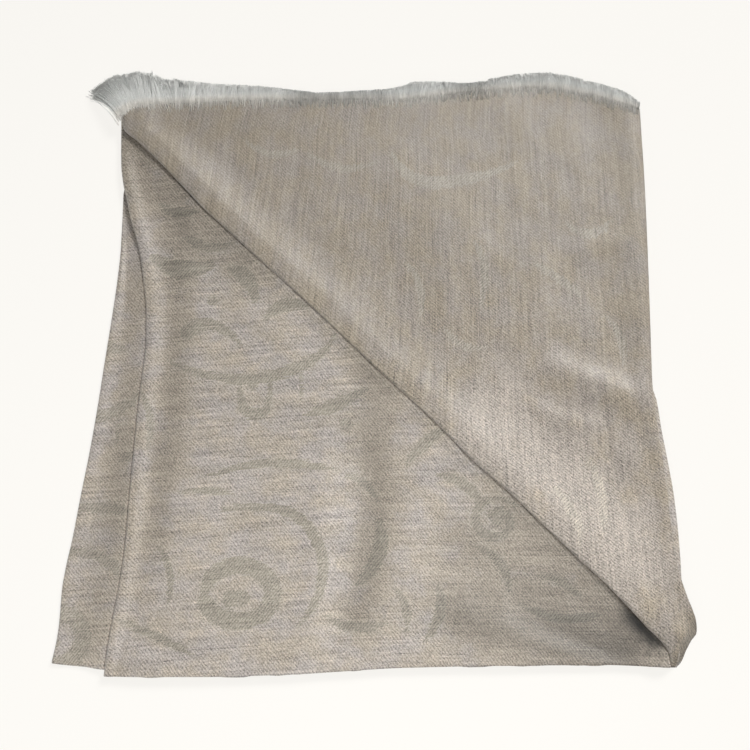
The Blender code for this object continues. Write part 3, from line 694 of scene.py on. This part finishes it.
def strip_rows(grid, steps, lead):
    rows = []
    first, reach, tuck = STRIP_TUCK
    for y in np.concatenate([np.arange(246, -272, -grid), [-274, -276]]):
        line = at(STRIP_LEFT, y) + STRIP_MID + tuck * float(ease((y - first) / reach))
        showing = max(at(PANEL_LEFT, y) - line, 4)
        bulge = float(ease((showing - 7) / 17))  # a wide strip is puffed up, a thin one flat
        radius = 0.95 + bulge
        away, level, unrolled = over_fold(STRIP_MID, radius, showing + 15, steps, lead)
        meets = showing + np.array([-2.5, -1.2, -0.3, 0.4, 1.1, 1.8, 2.6, 5, 9, 15])
        plain_run = radius + np.linspace(0, 1, 14)[1:] * max(showing - 3.5 - radius, 0.4)
        out = np.concatenate([plain_run, meets])
        share = out / max(showing, 1)
        top = 2.6 + 1.7 * bulge * ease(1 - (share - 0.06) / 0.3)
        dive = round_over(np.clip((out - showing) / 3, 0, 1))
        top = top + 4.2 * bulge * np.clip((share - 0.3) / 0.68, 0, 1) ** 1.5 * dive
        x = np.concatenate([line + away, line + out])
        run = np.concatenate([unrolled, radius * np.pi / 2 + out - radius])
        rows.append(row_of(x, bend(x, y, STRIP_END), np.concatenate([level, top]), line + run))
    return rows, lead + steps + 1 + len(out)


def under_rows(grid):
    rows = []
    for y in np.concatenate([np.arange(250, -214, -grid), [-218, -222]]):
        left = float(roll_line(y)) + 26 * SLANT
        x = np.concatenate([[left], places_between(left, at(STACK_RIGHT, y), grid)])
        rows.append(row_of(x, bend(x, y, FAR), UNDER_MID + 0.7 * right_rise(x, y), x))
    return rows, 0

# %% [markdown]
# ## The woven figure
# The scrolls are woven, not printed: inside them the twill turns the other way, so they
# show a shade darker on the panel and hardly at all on the back of the cloth. Each scroll
# is a bent stroke that swells and tapers. We keep, at every point of the mesh, how far it
# is from the edge of the nearest stroke. A shader turns that into a crisp line at any size,
# which a painted picture would not.

# %% Strokes of the figure
SPIRALS = (  # middle x, y, first and last radius, angle (degrees), width, height for its breadth
    (-119, -212, 30, 31, 205, -160, 16, 0.8), (112, -148, 24, 8, 40, 480, 8, 0.9),
)
STROKES = (  # start, middle, end, width at the start, middle and end
    (-134, -138, -58, -124, -45, -180, 5, 12, 10), (-45, -180, -40, -216, -66, -240, 10, 10, 3),
    (-150, -108, -88, -86, -30, -104, 3, 15, 4), (-178, -122, -150, -118, -122, -124, 2, 11, 2),
    (-24, -107, -4, -110, 6, -132, 4, 10, 3), (-190, 0, -126, -34, -66, -6, 4, 12, 11),
    (-66, -6, -44, 4, -34, 24, 11, 8, 3), (-122, -14, -123, -30, -119, -46, 3, 5, 9),
    (-119, -46, -108, -56, -97, -46, 9, 15, 9), (-97, -46, -93, -30, -95, -10, 9, 5, 3),
    (-67, -10, -64, -24, -66, -38, 2, 5, 3), (-62, -52, -36, -46, -6, -28, 4, 21, 3),
    (-100, 38, -86, 60, -60, 50, 5, 20, 4), (-134, 88, -114, 84, -110, 56, 7, 24, 6),
    (-206, 98, -178, 78, -152, 92, 9, 28, 8), (-172, 26, -150, 46, -122, 14, 15, 13, 4),
    (-178, 120, -158, 102, -132, 112, 3, 18, 3), (-204, 152, -188, 138, -166, 144, 3, 16, 3),
    (70, -62, 46, -76, 32, -96, 4, 18, 4), (60, -106, 84, -110, 100, -134, 4, 17, 4),
    (6, -148, 14, -182, -14, -204, 6, 22, 5), (92, -170, 124, -182, 122, -212, 3, 15, 3),
    (58, -206, 68, -228, 46, -254, 4, 18, 3), (20, -208, 34, -220, 30, -246, 3, 12, 3),
    (-42, -232, -18, -248, 14, -238, 3, 15, 3), (132, -222, 166, -242, 206, -230, 3, 14, 3),
    (150, -196, 172, -200, 186, -216, 3, 13, 3), (-226, -236, -192, -248, -158, -266, 4, 13, 3),
    (-192, -172, -176, -190, -182, -222, 3, 11, 3), (-214, -30, -200, -50, -206, -84, 3, 12, 3),
)
DOTS = (  # middle x, y, radius
    (-126, -217, 7.5), (-115, -216, 6.5), (-110, -24, 5), (-150, 56, 5), (-24, -60, 6),
    (113, -149, 5),
)
PALE_STROKES = (  # on the back of the cloth
    (20, 200, 34, 162, 78, 172, 4, 15, 13), (78, 172, 106, 174, 140, 192, 13, 10, 2),
    (184, 130, 206, 108, 226, 132, 4, 16, 3), (150, 92, 176, 76, 196, 58, 3, 15, 3),
    (96, 112, 112, 84, 100, 50, 3, 14, 3), (30, 92, 50, 76, 44, 40, 3, 12, 3),
    (196, -92, 214, -120, 206, -160, 4, 16, 3), (164, -118, 186, -140, 186, -170, 3, 14, 3),
    (-60, 200, -34, 176, 2, 190, 3, 12, 3), (-120, 214, -96, 190, -72, 204, 3, 12, 3),
    (66, 30, 84, 4, 104, 12, 3, 12, 3), (216, 40, 236, 20, 232, -6, 3, 12, 3),
)
FAR_OFF = 60.0  # the distance kept where no stroke is near
print("strokes:", len(STROKES), "and", len(PALE_STROKES), "pale ones")


# %% Distance to the figure


def figure_distance(x, y, strokes=STROKES, spirals=SPIRALS, dots=DOTS):
    nearest = np.full(x.shape, FAR_OFF)
    steps = np.linspace(0, 1, 33)
    lines = []
    for ax, ay, bx, by, cx, cy, first, middle, last in strokes:
        width = bow(first, middle, last, steps)
        lines.append((bow(ax, bx, cx, steps), bow(ay, by, cy, steps), width / 2))
    turns = np.linspace(0, 1, 90)
    for mx, my, r0, r1, a0, a1, width, squat in spirals:
        angle = np.radians(a0 + (a1 - a0) * turns)
        radius = r0 + (r1 - r0) * turns
        half = width / 2 * (0.35 + 0.65 * ease(turns / 0.25))
        lines.append((mx + radius * np.cos(angle), my + squat * radius * np.sin(angle), half))
    for mx, my, radius in dots:
        lines.append((np.array([mx]), np.array([my]), np.array([radius])))
    for px, py, half in lines:
        reach = half.max() + 12
        near = (x > px.min() - reach) & (x < px.max() + reach)
        near &= (y > py.min() - reach) & (y < py.max() + reach)
        if near.any():
            away = np.hypot(np.subtract.outer(x[near], px), np.subtract.outer(y[near], py))
            nearest[near] = np.minimum(nearest[near], (away - half).min(axis=1))
    return nearest


# %% [markdown]
# ## Plies of the shawl
# The doubled layers are two plies each. The outer ply of every stretch is fine enough for
# creases and the figure. The inner ply only shows as a second line at the rims, so it is
# made with fewer points.

# %% Lay of the warp
PANEL_TILT = (  # x, how far the picks sink there, since the panel isn't laid quite square
    (-300, -25), (-250, -21), (-160, -13.9), (-70, -6.8), (20, -1.4), (90, 0), (300, 0),
)
CORNER_LEAN = (  # x, how much the warp leans on the turned-back corner
    (-300, 0.17), (-121, 0.14), (-13, 0.085), (41, 0.045), (95, 0), (203, -0.05), (300, -0.07),
)


def panel_weave(flat_x, flat_y):
    across = flat_y - along(PANEL_TILT, flat_x)
    return np.stack([across, flat_x, np.zeros_like(across)], axis=1) * MM


def corner_weave(flat_x, flat_y):
    across = flat_x - along(CORNER_LEAN, flat_x) * flat_y
    return np.stack([across, flat_y, np.zeros_like(across)], axis=1) * MM


def plain(flat_x, flat_y):
    return np.full(flat_x.shape, FAR_OFF)


# %% One ply, and a doubled layer
def area_of(points, faces):
    across = crossed(points[faces][:, :, :3] * MM)
    return float(np.linalg.norm(across, axis=1).sum() / 2)


def cloth_piece(name, stands_for, rows, shift, thickness, weave, figured=plain, painted_light_and_shade=()):
    points, faces = surface(*rows)
    vertices, solid, flat = ply_of(points, faces, shift, thickness)
    x, y = vertices[:, 0], vertices[:, 1]
    attributes = {
        "weave": weave(flat[:, 0], flat[:, 1]),
        "figure": figured(flat[:, 0], flat[:, 1]),
        "to_fringe": along(FAR_EDGE, x) - y,
        # painted light and shade at each point, from the strokes of its table
        "painted_light_and_shade": creases(painted_light_and_shade, x, y, 0.2),
    }
    piece = make_piece(name, vertices, solid, attributes, 2 * len(faces))
    node, slot = stands_for
    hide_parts(node)
    return piece, area_of(points, faces)


def doubled_layer(stretch, stands_for, upper, lower, weave, figured=plain, painted_light_and_shade=()):
    top, area = cloth_piece(
        stretch + "_upper_ply", stands_for, upper, PLY_SHIFT, PLY, weave, figured, painted_light_and_shade
    )
    bottom, _ = cloth_piece(stretch + "_lower_ply", stands_for, lower, -PLY_SHIFT, PLY, weave)
    print(stretch, "ply:", round(area, 3), "square metres")
    return top, bottom, area

# %% [markdown]
# The back of the cloth shows on the turned-back corner. The scrolls go on there, but fewer
# of them can be made out, so the corner has its own short list of strokes. The strip shows
# another stretch of the same pattern, so it takes the panel's strokes, moved along.


# %% Figure as the corner shows it
def corner_figure(flat_x, flat_y):
    return figure_distance(flat_x, flat_y, PALE_STROKES, (), ())


def strip_figure(flat_x, flat_y):
    return figure_distance(flat_x + 170, flat_y + 40)


# %% Turned-back corner
corner_upper, corner_lower, corner_area = doubled_layer(
    "corner",
    ("turned_back_corner", "turned_back_cloth"),
    corner_rows(CLOTH_GRID, 6, 6),
    corner_rows(COARSE_GRID, 4, 4, rim=0.5),
    corner_weave,
    corner_figure,
    CORNER_PAINTED_LIGHT_AND_SHADE,
)

# %% Main panel
panel_upper, panel_lower, panel_area = doubled_layer(
    "panel",
    ("main_panel", "panel_cloth"),
    panel_rows(CLOTH_GRID, 10, 4),
    panel_rows(COARSE_GRID, 8, 3, rim=0.6),
    panel_weave,
    figure_distance,
    PANEL_PAINTED_LIGHT_AND_SHADE,
)

# %% Layer under the corner, and the strip at the left
under_upper, under_lower, under_area = doubled_layer(
    "under",
    ("layer_under_corner", "inner_cloth"),
    under_rows(COARSE_GRID),
    under_rows(COARSE_GRID),
    panel_weave,
)
strip, strip_area = cloth_piece(
    "strip_ply",
    ("lower_fold", "fold_cloth"),
    strip_rows(3.5, 10, 8),
    0,
    1.25,
    panel_weave,
    strip_figure,
    STRIP_PAINTED_SHADE,
)
print("strip ply:", round(strip_area, 3), "square metres")

# %% [markdown]
# ## Hidden plies
# Between the stretches that show lie four more plies. Nobody sees them but at the rims,
# where their edges lie one above the other and never quite in line. One closed body with a
# rounded lip for each ply gives that line of edges from every side.

# %% Stack of hidden plies
STACK_PLIES = 4
LIP = (  # share of the ply's height, how far its rounded edge lies in there
    (0.03, 1.1), (0.13, 0.42), (0.3, 0.08), (0.5, 0), (0.7, 0.08), (0.87, 0.42), (0.97, 1.1),
)


def stack_rows(grid):
    rows = []
    for y in np.concatenate([[FAR_LINE], np.arange(246, -270, -grid), [FRONT_LINE]]):
        left = at(PANEL_LEFT, y) + 16
        x = np.concatenate([[left], places_between(left, at(STACK_RIGHT, y) - 2, grid)])
        far, near = bend(x, y, FAR) - y, bend(x, y, FRONT) - y
        inset = 1 * (y == FRONT_LINE) - 6 * (y == FAR_LINE)
        rise = 2.5 * np.clip((inside_roll(x, y) - 62) / 28, 0, 1)
        rise = rise + 0.5 * right_rise(x, y)
        rows.append(row_of(x, y + far + near + inset, HIDDEN_TOP + rise, x))
    return rows, 0


def stack_of_plies():
    # rings of points around the rim, from the table up, then the top and the bottom
    points, faces = surface(*stack_rows(10))
    loop = rim_of(faces)
    inner = sorted(set(range(len(points))) - set(loop))
    rim = points[loop]
    outward = unit(ahead_of(rim)[:, [1, 0]] * (1, -1))
    rings = []
    for ply in range(STACK_PLIES):
        uneven = 0.9 * waviness(EDGE_WAVES, rim[:, 0] + 90 * ply, rim[:, 1] - 50 * ply)
        for share, inset in LIP:
            level = rim[:, 2] * (ply + share) / STACK_PLIES
            if ply == 0 and share == LIP[0][0]:
                level = level * 0
            place = rim[:, :2] - outward * (0.5 + inset + np.clip(uneven, -0.5, 2))[:, None]
            flat = rim[:, :2] + outward * (2 * level + 9 * ply)[:, None]
            rings.append(np.column_stack([place, level, flat]))
    size, count = len(loop), len(rings)
    bottom = points[inner].copy()
    bottom[:, 2] = 0
    vertices = np.vstack(rings + [points[inner], bottom])
    high, low = np.zeros(len(points), int), np.zeros(len(points), int)
    high[loop] = (count - 1) * size + np.arange(size)
    low[loop] = np.arange(size)
    high[inner] = count * size + np.arange(len(inner))
    low[inner] = count * size + len(inner) + np.arange(len(inner))
    solid = [high[faces], low[faces][:, ::-1]]
    k = np.arange(size)
    n = np.roll(k, -1)
    for ring in range(count - 1):
        a, b = ring * size, (ring + 1) * size
        solid.append(np.stack([b + n, b + k, a + k], axis=1))
        solid.append(np.stack([b + n, a + k, a + n], axis=1))
    flat_x, flat_y = vertices[:, 3], vertices[:, 4]
    figure = plain(flat_x, flat_y)
    attributes = {"weave": panel_weave(flat_x, flat_y), "figure": figure, "to_fringe": figure}
    piece = make_piece("stack_plies", vertices[:, :3], np.vstack(solid), attributes)
    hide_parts("hidden_layers")
    return piece


stack = stack_of_plies()

# %% [markdown]
# ## Eyelash fringe
# At the end of the shawl the weaver leaves the warp ends free for a finger's width. Both
# plies have such a fringe. It could be hair particles, but they don't export, so every
# yarn is a thin three-sided tube that leans, droops and wavers a little on its own.

# %% Fringe yarns
FRINGE_LAY = (  # x of the root, lean to the right in degrees, length
    (-243, -31, 43), (-236, -28, 43), (-225, -23, 41), (-213, -17, 39), (-200, -13, 34),
    (-190, -10, 30), (-172, -6, 25), (-150, -2, 20.5), (-120, 1, 17.7), (-82, 0, 12.7),
    (-53, 0, 8.2), (-4, 2, 11.2), (20, 3, 14.2), (38, 3, 21.4), (68, 2, 15.6), (96, 2, 10.6),
    (122, 3, 15), (166, 2, 19.1), (200, 3, 17.8), (238, 5, 15.2), (247, 7, 13), (252, 8, 8),
)
YARNS = 5200
YARN_STEPS = 6
LOCK_WAVES = plane_waves(9, 24, 3, 14)  # neighbouring yarns lean together in locks
TUFT = 0.16  # share of the yarns that fan out over the far left corner
FADE = 20  # mm of free yarn that the finish counts as 1
WAVE_LEAN, LOCK_LEAN, YARN_LEAN = 4, 4.5, 2.4  # degrees that a stretch, a lock, a yarn leans
LENGTH_SPREAD = 0.03
DROOP = 0.42  # share of its length that a yarn sinks toward the table


def fringe_roots(rng):
    tuft = int(YARNS * TUFT)
    corner = np.linspace(0, 1, tuft)
    left = -246 + 26 * corner**1.3
    rest = np.linspace(-220, 254.5, YARNS - tuft)
    root_x = np.concatenate([left, rest]) + rng.normal(0, 0.3, YARNS)
    lower = np.concatenate([11 * (1 - corner) ** 2.5, np.zeros(YARNS - tuft)])
    return root_x, lower


def yarn_faces():
    start = np.arange(YARNS)[:, None] * 3 * YARN_STEPS
    faces = []
    for step in range(YARN_STEPS - 1):
        for k in range(3):
            a, b = 3 * step + k, 3 * step + (k + 1) % 3
            faces += [start + [[b, a, a + 3]], start + [[b, a + 3, b + 3]]]
    last = 3 * YARN_STEPS - 1
    faces += [start + [[0, 1, 2]], start + [[last, last - 1, last - 2]]]
    return np.vstack(faces)


# %% Fringe of one ply
def fringe(name, node, side, length_share, seed):
    rng = np.random.default_rng(seed)
    upper = side > 0
    root_x, lower = fringe_roots(rng)
    # a yarn leans as its stretch was laid, with its lock, and a little on its own
    lay_x = np.clip(root_x, FRINGE_LAY[0][0], FRINGE_LAY[-1][0])
    lay, longest = along(FRINGE_LAY, lay_x), along(FRINGE_LAY, lay_x, 2)
    lean = lay + WAVE_LEAN * waviness(EDGE_WAVES, root_x, 9 * side) - 1.4 * lower
    lean = lean + LOCK_LEAN * waviness(LOCK_WAVES, root_x, 3 * side)
    lean = np.radians(lean + rng.normal(0, YARN_LEAN, YARNS))
    length = longest * length_share * (1 - np.abs(rng.normal(0, LENGTH_SPREAD, YARNS)))
    # a few upper yarns come loose further in, so the edge of the cloth isn't a hard line
    inset = 0.8 + upper * 10 * rng.uniform(0, 1, YARNS) ** 8
    level = corner_height(lay_x, FAR_LINE) + side * PLY_SHIFT
    level = level + upper * 0.55 + rng.uniform(-0.2, 0.2, YARNS)
    root_y = along(FAR_EDGE, root_x) - inset - lower
    droop = np.minimum(DROOP * length, level - 1.5) * rng.normal(1, 0.08, YARNS)
    thick = rng.uniform(0.2, 0.34, YARNS)
    curl = rng.normal(0, 1, (YARNS, 4))
    vertices, tips = [], []
    # three points around each yarn at every step, out along its own curved line
    for share in np.linspace(0, 1, YARN_STEPS):
        turn = lean * (0.7 + 0.3 * share)
        run = (length + inset) * share
        free = np.clip((run - inset) / length, 0, 1)
        sway = 0.5 * share * curl[:, 0] * np.sin(3 * share + curl[:, 1])
        x = root_x + np.sin(turn) * run + np.cos(turn) * sway
        y = root_y + np.cos(turn) * run - np.sin(turn) * sway
        lifted = upper * 0.4 * ease(run / 5)
        z = np.maximum(level + lifted - droop * free**2 + 0.3 * share * curl[:, 2], 0.6)
        radius = thick * (1 - 0.2 * share)
        for k in range(3):
            angle = 2 * np.pi * k / 3 + curl[:, 3]
            out = radius * np.cos(angle)
            place = [x + out * np.cos(turn), y - out * np.sin(turn), z + radius * np.sin(angle)]
            vertices.append(np.stack(place, axis=1))
            tips.append((run - inset) / FADE)
    vertices = np.stack(vertices, axis=1).reshape(-1, 3)
    shade = 0.6 * rng.uniform(0, 1, YARNS)
    shade = shade + 0.4 * ease(0.5 + 0.3 * waviness(LOCK_WAVES, root_x, 40))
    long_yarn_painted_light = ease((longest - 9.5) / 6)  # painted light: long free yarn is painted lighter, as it catches more light than short
    shade = shade + 1.05 * long_yarn_painted_light * (1 - 0.38 * ease((lay_x + 200) / 150))
    own = np.repeat(shade, 3 * YARN_STEPS)  # each yarn has one shade over all its points
    place = np.stack([vertices[:, 0], vertices[:, 1], 10 * own], axis=1) * MM
    attributes = {"tip": np.stack(tips, axis=1).ravel(), "own": own, "weave": place}
    piece = make_piece(name, vertices, yarn_faces(), attributes)
    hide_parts(node)
    return piece


fringe_upper = fringe("fringe_upper_yarns", "fringe_upper_ply", 1, 1, 3)
fringe_lower = fringe("fringe_lower_yarns", "fringe_lower_ply", -1, 0.92, 4)


# %% [markdown]
# ## Cloth finish
# Fine wool and silk have a matt face with a faint bloom at grazing angles, so the shader
# gets sheen and a middling roughness. The colour is the same yarn all over, but it lives: thick
# and thin places run along the warp as light and dark streaks, the twill draws fine slanted
# lines, and the yarn itself is mottled. All of it is drawn by nodes from the place in the
# unfolded cloth, so nothing stretches at the folds.


# %% Node helpers
class Nodes:
    def __init__(self, name):
        self.material = bpy.data.materials.new(name)
        self.material.use_nodes = True
        self.tree = self.material.node_tree
        self.shader = self.tree.nodes["Principled BSDF"]

    def fill(self, node, inputs):
        for key, value in inputs.items():
            if hasattr(value, "links"):
                self.tree.links.new(value, node.inputs[key])
            else:
                node.inputs[key].default_value = value

    def node(self, kind, inputs, output=0, **settings):
        node = self.tree.nodes.new("ShaderNode" + kind)
        for key, value in settings.items():
            setattr(node, key, value)
        self.fill(node, inputs)
        return node.outputs[output]

    def math(self, kind, first, second=0, third=0):
        return self.node("Math", {0: first, 1: second, 2: third}, operation=kind)

    def times(self, first, second):
        return self.math("MULTIPLY", first, second)

    def join(self, value, share, total):
        return self.math("MULTIPLY_ADD", value, share, total)

    def swing(self, value, share, total):
        return self.join(self.math("SUBTRACT", value, 0.5), share, total)

    def attribute(self, name, output="Fac"):
        return self.node("Attribute", {}, output, attribute_name=name)

    def noise(self, vector, detail, roughness=0.5):
        inputs = {"Vector": vector, "Scale": 1, "Detail": detail, "Roughness": roughness}
        return self.node("TexNoise", inputs, "Fac")

    def patches(self, vector, per_metre, detail, roughness=0.5):
        sizes = {0: vector, 1: per_metre}
        vector = self.node("VectorMath", sizes, operation="MULTIPLY")
        return self.noise(vector, detail, roughness)

    def ramp(self, value, low, high, to_low=0, to_high=1):
        inputs = {"Value": value, "From Min": low, "From Max": high}
        inputs.update({"To Min": to_low, "To Max": to_high})
        return self.node("MapRange", inputs, "Result", interpolation_type="SMOOTHSTEP")

    def mix(self, share, first, second):
        inputs = {"Factor": share, "A": first, "B": second}
        return self.node("Mix", inputs, "Result", data_type="RGBA")

    def finish(self, colour, tone, height, depth, rough, **others):
        shaded = self.node("VectorMath", {0: colour, "Scale": tone}, operation="SCALE")
        bump = self.node("Bump", {"Height": height, "Strength": 0.4, "Distance": depth})
        self.fill(self.shader, {"Base Color": shaded, "Normal": bump, "Roughness": rough})
        self.fill(self.shader, {"Sheen Roughness": 0.4, **others})
        return self.material

# %% Twill of warp and weft
YARN_PITCH, PICK_PITCH = 0.9, 0.77  # mm from one warp yarn to the next, from pick to pick
# how much lighter or darker one crossing, one float and one twill line may be
CROSSING_SHARE, FLOAT_SHARE, TWILL_SHARE = 0.68, 0.2, 0.33


def white(nodes, first, second):
    cell = nodes.node("CombineXYZ", {0: first, 1: second})
    value = nodes.node("TexWhiteNoise", {"Vector": cell}, "Value", noise_dimensions="2D")
    return nodes.math("SUBTRACT", value, 0.5)


def twill(nodes, across, warp, wobble, turned):
    yarn = nodes.join(across, 1000 / YARN_PITCH, wobble)
    pick = nodes.join(warp, 1000 / PICK_PITCH, wobble)
    yarn_number, pick_number = nodes.math("FLOOR", yarn), nodes.math("FLOOR", pick)
    # over two and under two, one yarn further at each pick; the figure leans the other way
    passed = nodes.join(yarn_number, nodes.join(turned, -2, 1), pick)
    float_number = nodes.math("FLOOR", nodes.times(passed, 0.5))
    over = nodes.math("SUBTRACT", nodes.math("FLOORED_MODULO", float_number, 2), 0.5)
    one_float = white(nodes, yarn_number, float_number)
    one_crossing = white(nodes, nodes.math("ADD", yarn_number, 0.5), pick_number)
    round_yarn = nodes.math("ABSOLUTE", nodes.math("SINE", nodes.times(yarn, math.pi)))
    return yarn_number, over, one_float, one_crossing, round_yarn


print("warp yarns in 100 mm:", round(100 / YARN_PITCH))

# %% Cloth finish
STREAKS, SLUBS, SINGLE_YARNS, CLOUDS, BANDS = 0.85, 0.2, 0.46, 0.14, 0.2  # share in the tone
PAINTED_SHADE_WARMTH = -0.7  # painted shade is also painted warmer, and painted light cooler
RELIEF = 0.0002  # metres that yarns and twill lines stand up


def tinted(ground, tint):
    return tuple(c * t for c, t in zip(ground, tint))


def cloth_finish(name, ground, figure, figure_share, outline_share, fringe_tint=None):
    nodes = Nodes(name)
    weave = nodes.attribute("weave", "Vector")
    across = nodes.node("SeparateXYZ", {0: weave})
    warp = across.node.outputs[1]
    wobble = nodes.times(nodes.patches(weave, (160, 90, 1), 1), 2.2)
    ragged = nodes.patches(weave, (600, 45, 1), 2, 0.7)
    edge = nodes.math("ADD", nodes.attribute("figure"), nodes.ramp(ragged, 0.25, 0.75, -2, 2))
    inside = nodes.ramp(edge, -0.9, 0.9, 1, 0)
    turned = nodes.math("GREATER_THAN", inside, 0.5)
    yarn_number, over, one_float, one_crossing, round_yarn = twill(
        nodes, across, warp, wobble, turned
    )
    # noise drawn out along the warp gives streaks, and its peaks thick and thin places
    long_streak = nodes.patches(weave, (430, 9, 1), 3, 0.65)
    short_streak = nodes.patches(weave, (820, 24, 1), 1)
    slub = nodes.ramp(short_streak, 0.64, 0.7)
    thin = nodes.ramp(short_streak, 0.36, 0.3)
    lengths = {0: nodes.times(yarn_number, 0.73), 1: nodes.times(warp, 22)}
    one_yarn = nodes.noise(nodes.node("CombineXYZ", lengths), 1)
    cloud = nodes.patches(weave, (24, 17, 1), 2)
    band = nodes.patches(weave, (110, 3.5, 1), 2, 0.6)
    outline = nodes.times(nodes.ramp(edge, -0.2, 0.5), nodes.ramp(edge, 1.9, 0.9))

    speckle = nodes.times(one_crossing, CROSSING_SHARE)
    speckle = nodes.join(one_float, FLOAT_SHARE, speckle)
    speckle = nodes.join(over, TWILL_SHARE, speckle)
    if fringe_tint is not None:  # the weave shows less plainly toward the fringe
        open_weave = nodes.ramp(nodes.attribute("to_fringe"), 0, 380, 0.6, 1.14)
        speckle = nodes.times(speckle, open_weave)
    tone = nodes.swing(long_streak, STREAKS, 1)
    tone = nodes.join(nodes.math("SUBTRACT", slub, thin), SLUBS, tone)
    tone = nodes.swing(cloud, CLOUDS, nodes.swing(one_yarn, SINGLE_YARNS, tone))
    tone = nodes.swing(band, BANDS, nodes.join(outline, outline_share, tone))
    # painted light and shade make the tone lighter or darker
    painted_light_and_shade = nodes.attribute("painted_light_and_shade")
    tone = nodes.times(nodes.math("ADD", speckle, tone), nodes.math("ADD", painted_light_and_shade, 1))

    # patches of cooler and warmer yarn, with painted shade warmer and painted light cooler, then
    # the figure, then the pale open end
    hue = nodes.join(painted_light_and_shade, PAINTED_SHADE_WARMTH, nodes.patches(weave, (38, 30, 1), 3, 0.6))
    cool, warm = tinted(ground, (0.995, 0.995, 1.05, 1)), tinted(ground, (1.02, 0.985, 0.925, 1))
    colour = nodes.mix(nodes.ramp(hue, 0.34, 0.66), cool, warm)
    colour = nodes.mix(nodes.times(inside, figure_share), colour, figure)
    if fringe_tint is not None:
        near = nodes.join(long_streak, 22, nodes.attribute("to_fringe"))
        colour = nodes.mix(nodes.ramp(near, 8, 21, 0.75, 0), colour, fringe_tint)
    height = nodes.times(round_yarn, nodes.math("ADD", one_float, 1))
    height = nodes.join(slub, 0.8, nodes.join(over, 0.5, height))
    rough = nodes.ramp(one_float, -0.5, 0.5, 0.4, 0.48)
    sheen = {"Specular IOR Level": 0.7, "Sheen Weight": 0.4, "Sheen Tint": (0.95, 0.96, 1, 1)}
    return nodes.finish(colour, tone, height, RELIEF, rough, **sheen)

# %% Finishes of the stretches
PANEL_GROUND = (0.398, 0.363, 0.32, 1)
PANEL_FIGURE = (0.324, 0.295, 0.245, 1)
CORNER_GROUND = (0.319, 0.284, 0.236, 1)
CORNER_FIGURE = (0.36, 0.327, 0.28, 1)
FRINGE_PALE = (0.42, 0.415, 0.39, 1)

panel_finish = cloth_finish("panel_twill", PANEL_GROUND, PANEL_FIGURE, 1, 0.09)
corner_finish = cloth_finish("corner_twill", CORNER_GROUND, CORNER_FIGURE, 0.9, 0, FRINGE_PALE)
strip_finish = cloth_finish("strip_twill", PANEL_GROUND, PANEL_FIGURE, 0.8, 0.05)
inner_finish = cloth_finish("inner_twill", PANEL_GROUND, PANEL_FIGURE, 0.5, 0.05)


# %% [markdown]
# ## Fringe finish
# Free yarn is paler than the cloth, and the light that goes through its loose fibres is
# painted into that pale colour too. Near the root the yarns lie close and shade each other,
# so their colour there is painted a little lighter to cancel that shade. Every yarn has its
# own shade, and long free yarn is painted lighter for the light it catches.


# %% Yarn finish
def yarn_finish():
    nodes = Nodes("eyelash_yarn")
    fuzz = nodes.patches(nodes.attribute("weave", "Vector"), (900, 900, 400), 2)
    free = nodes.ramp(nodes.attribute("tip"), 0, 0.45)
    # painted light: the root colour is lighter than the tip's, to cancel the shade among the close
    # yarns
    colour = nodes.mix(free, (0.72, 0.7, 0.655, 1), (0.66, 0.67, 0.655, 1))
    # each yarn's tone, with the painted light of long yarn in it
    tone = nodes.swing(fuzz, 0.35, nodes.join(nodes.attribute("own"), 0.4, 0.49))
    rough = nodes.ramp(fuzz, 0.2, 0.8, 0.7, 0.9)
    return nodes.finish(colour, tone, fuzz, RELIEF / 2, rough, **{"Sheen Weight": 0.3})


yarn = yarn_finish()
for finish, pieces in (
    (corner_finish, (corner_upper, corner_lower)),
    (panel_finish, (panel_upper, panel_lower)),
    (inner_finish, (under_upper, under_lower, stack)),
    (strip_finish, (strip,)),
    (yarn, (fringe_upper, fringe_lower)),
):
    for piece in pieces:
        piece.data.materials.append(finish)
print("finishes:", len(bpy.data.materials))
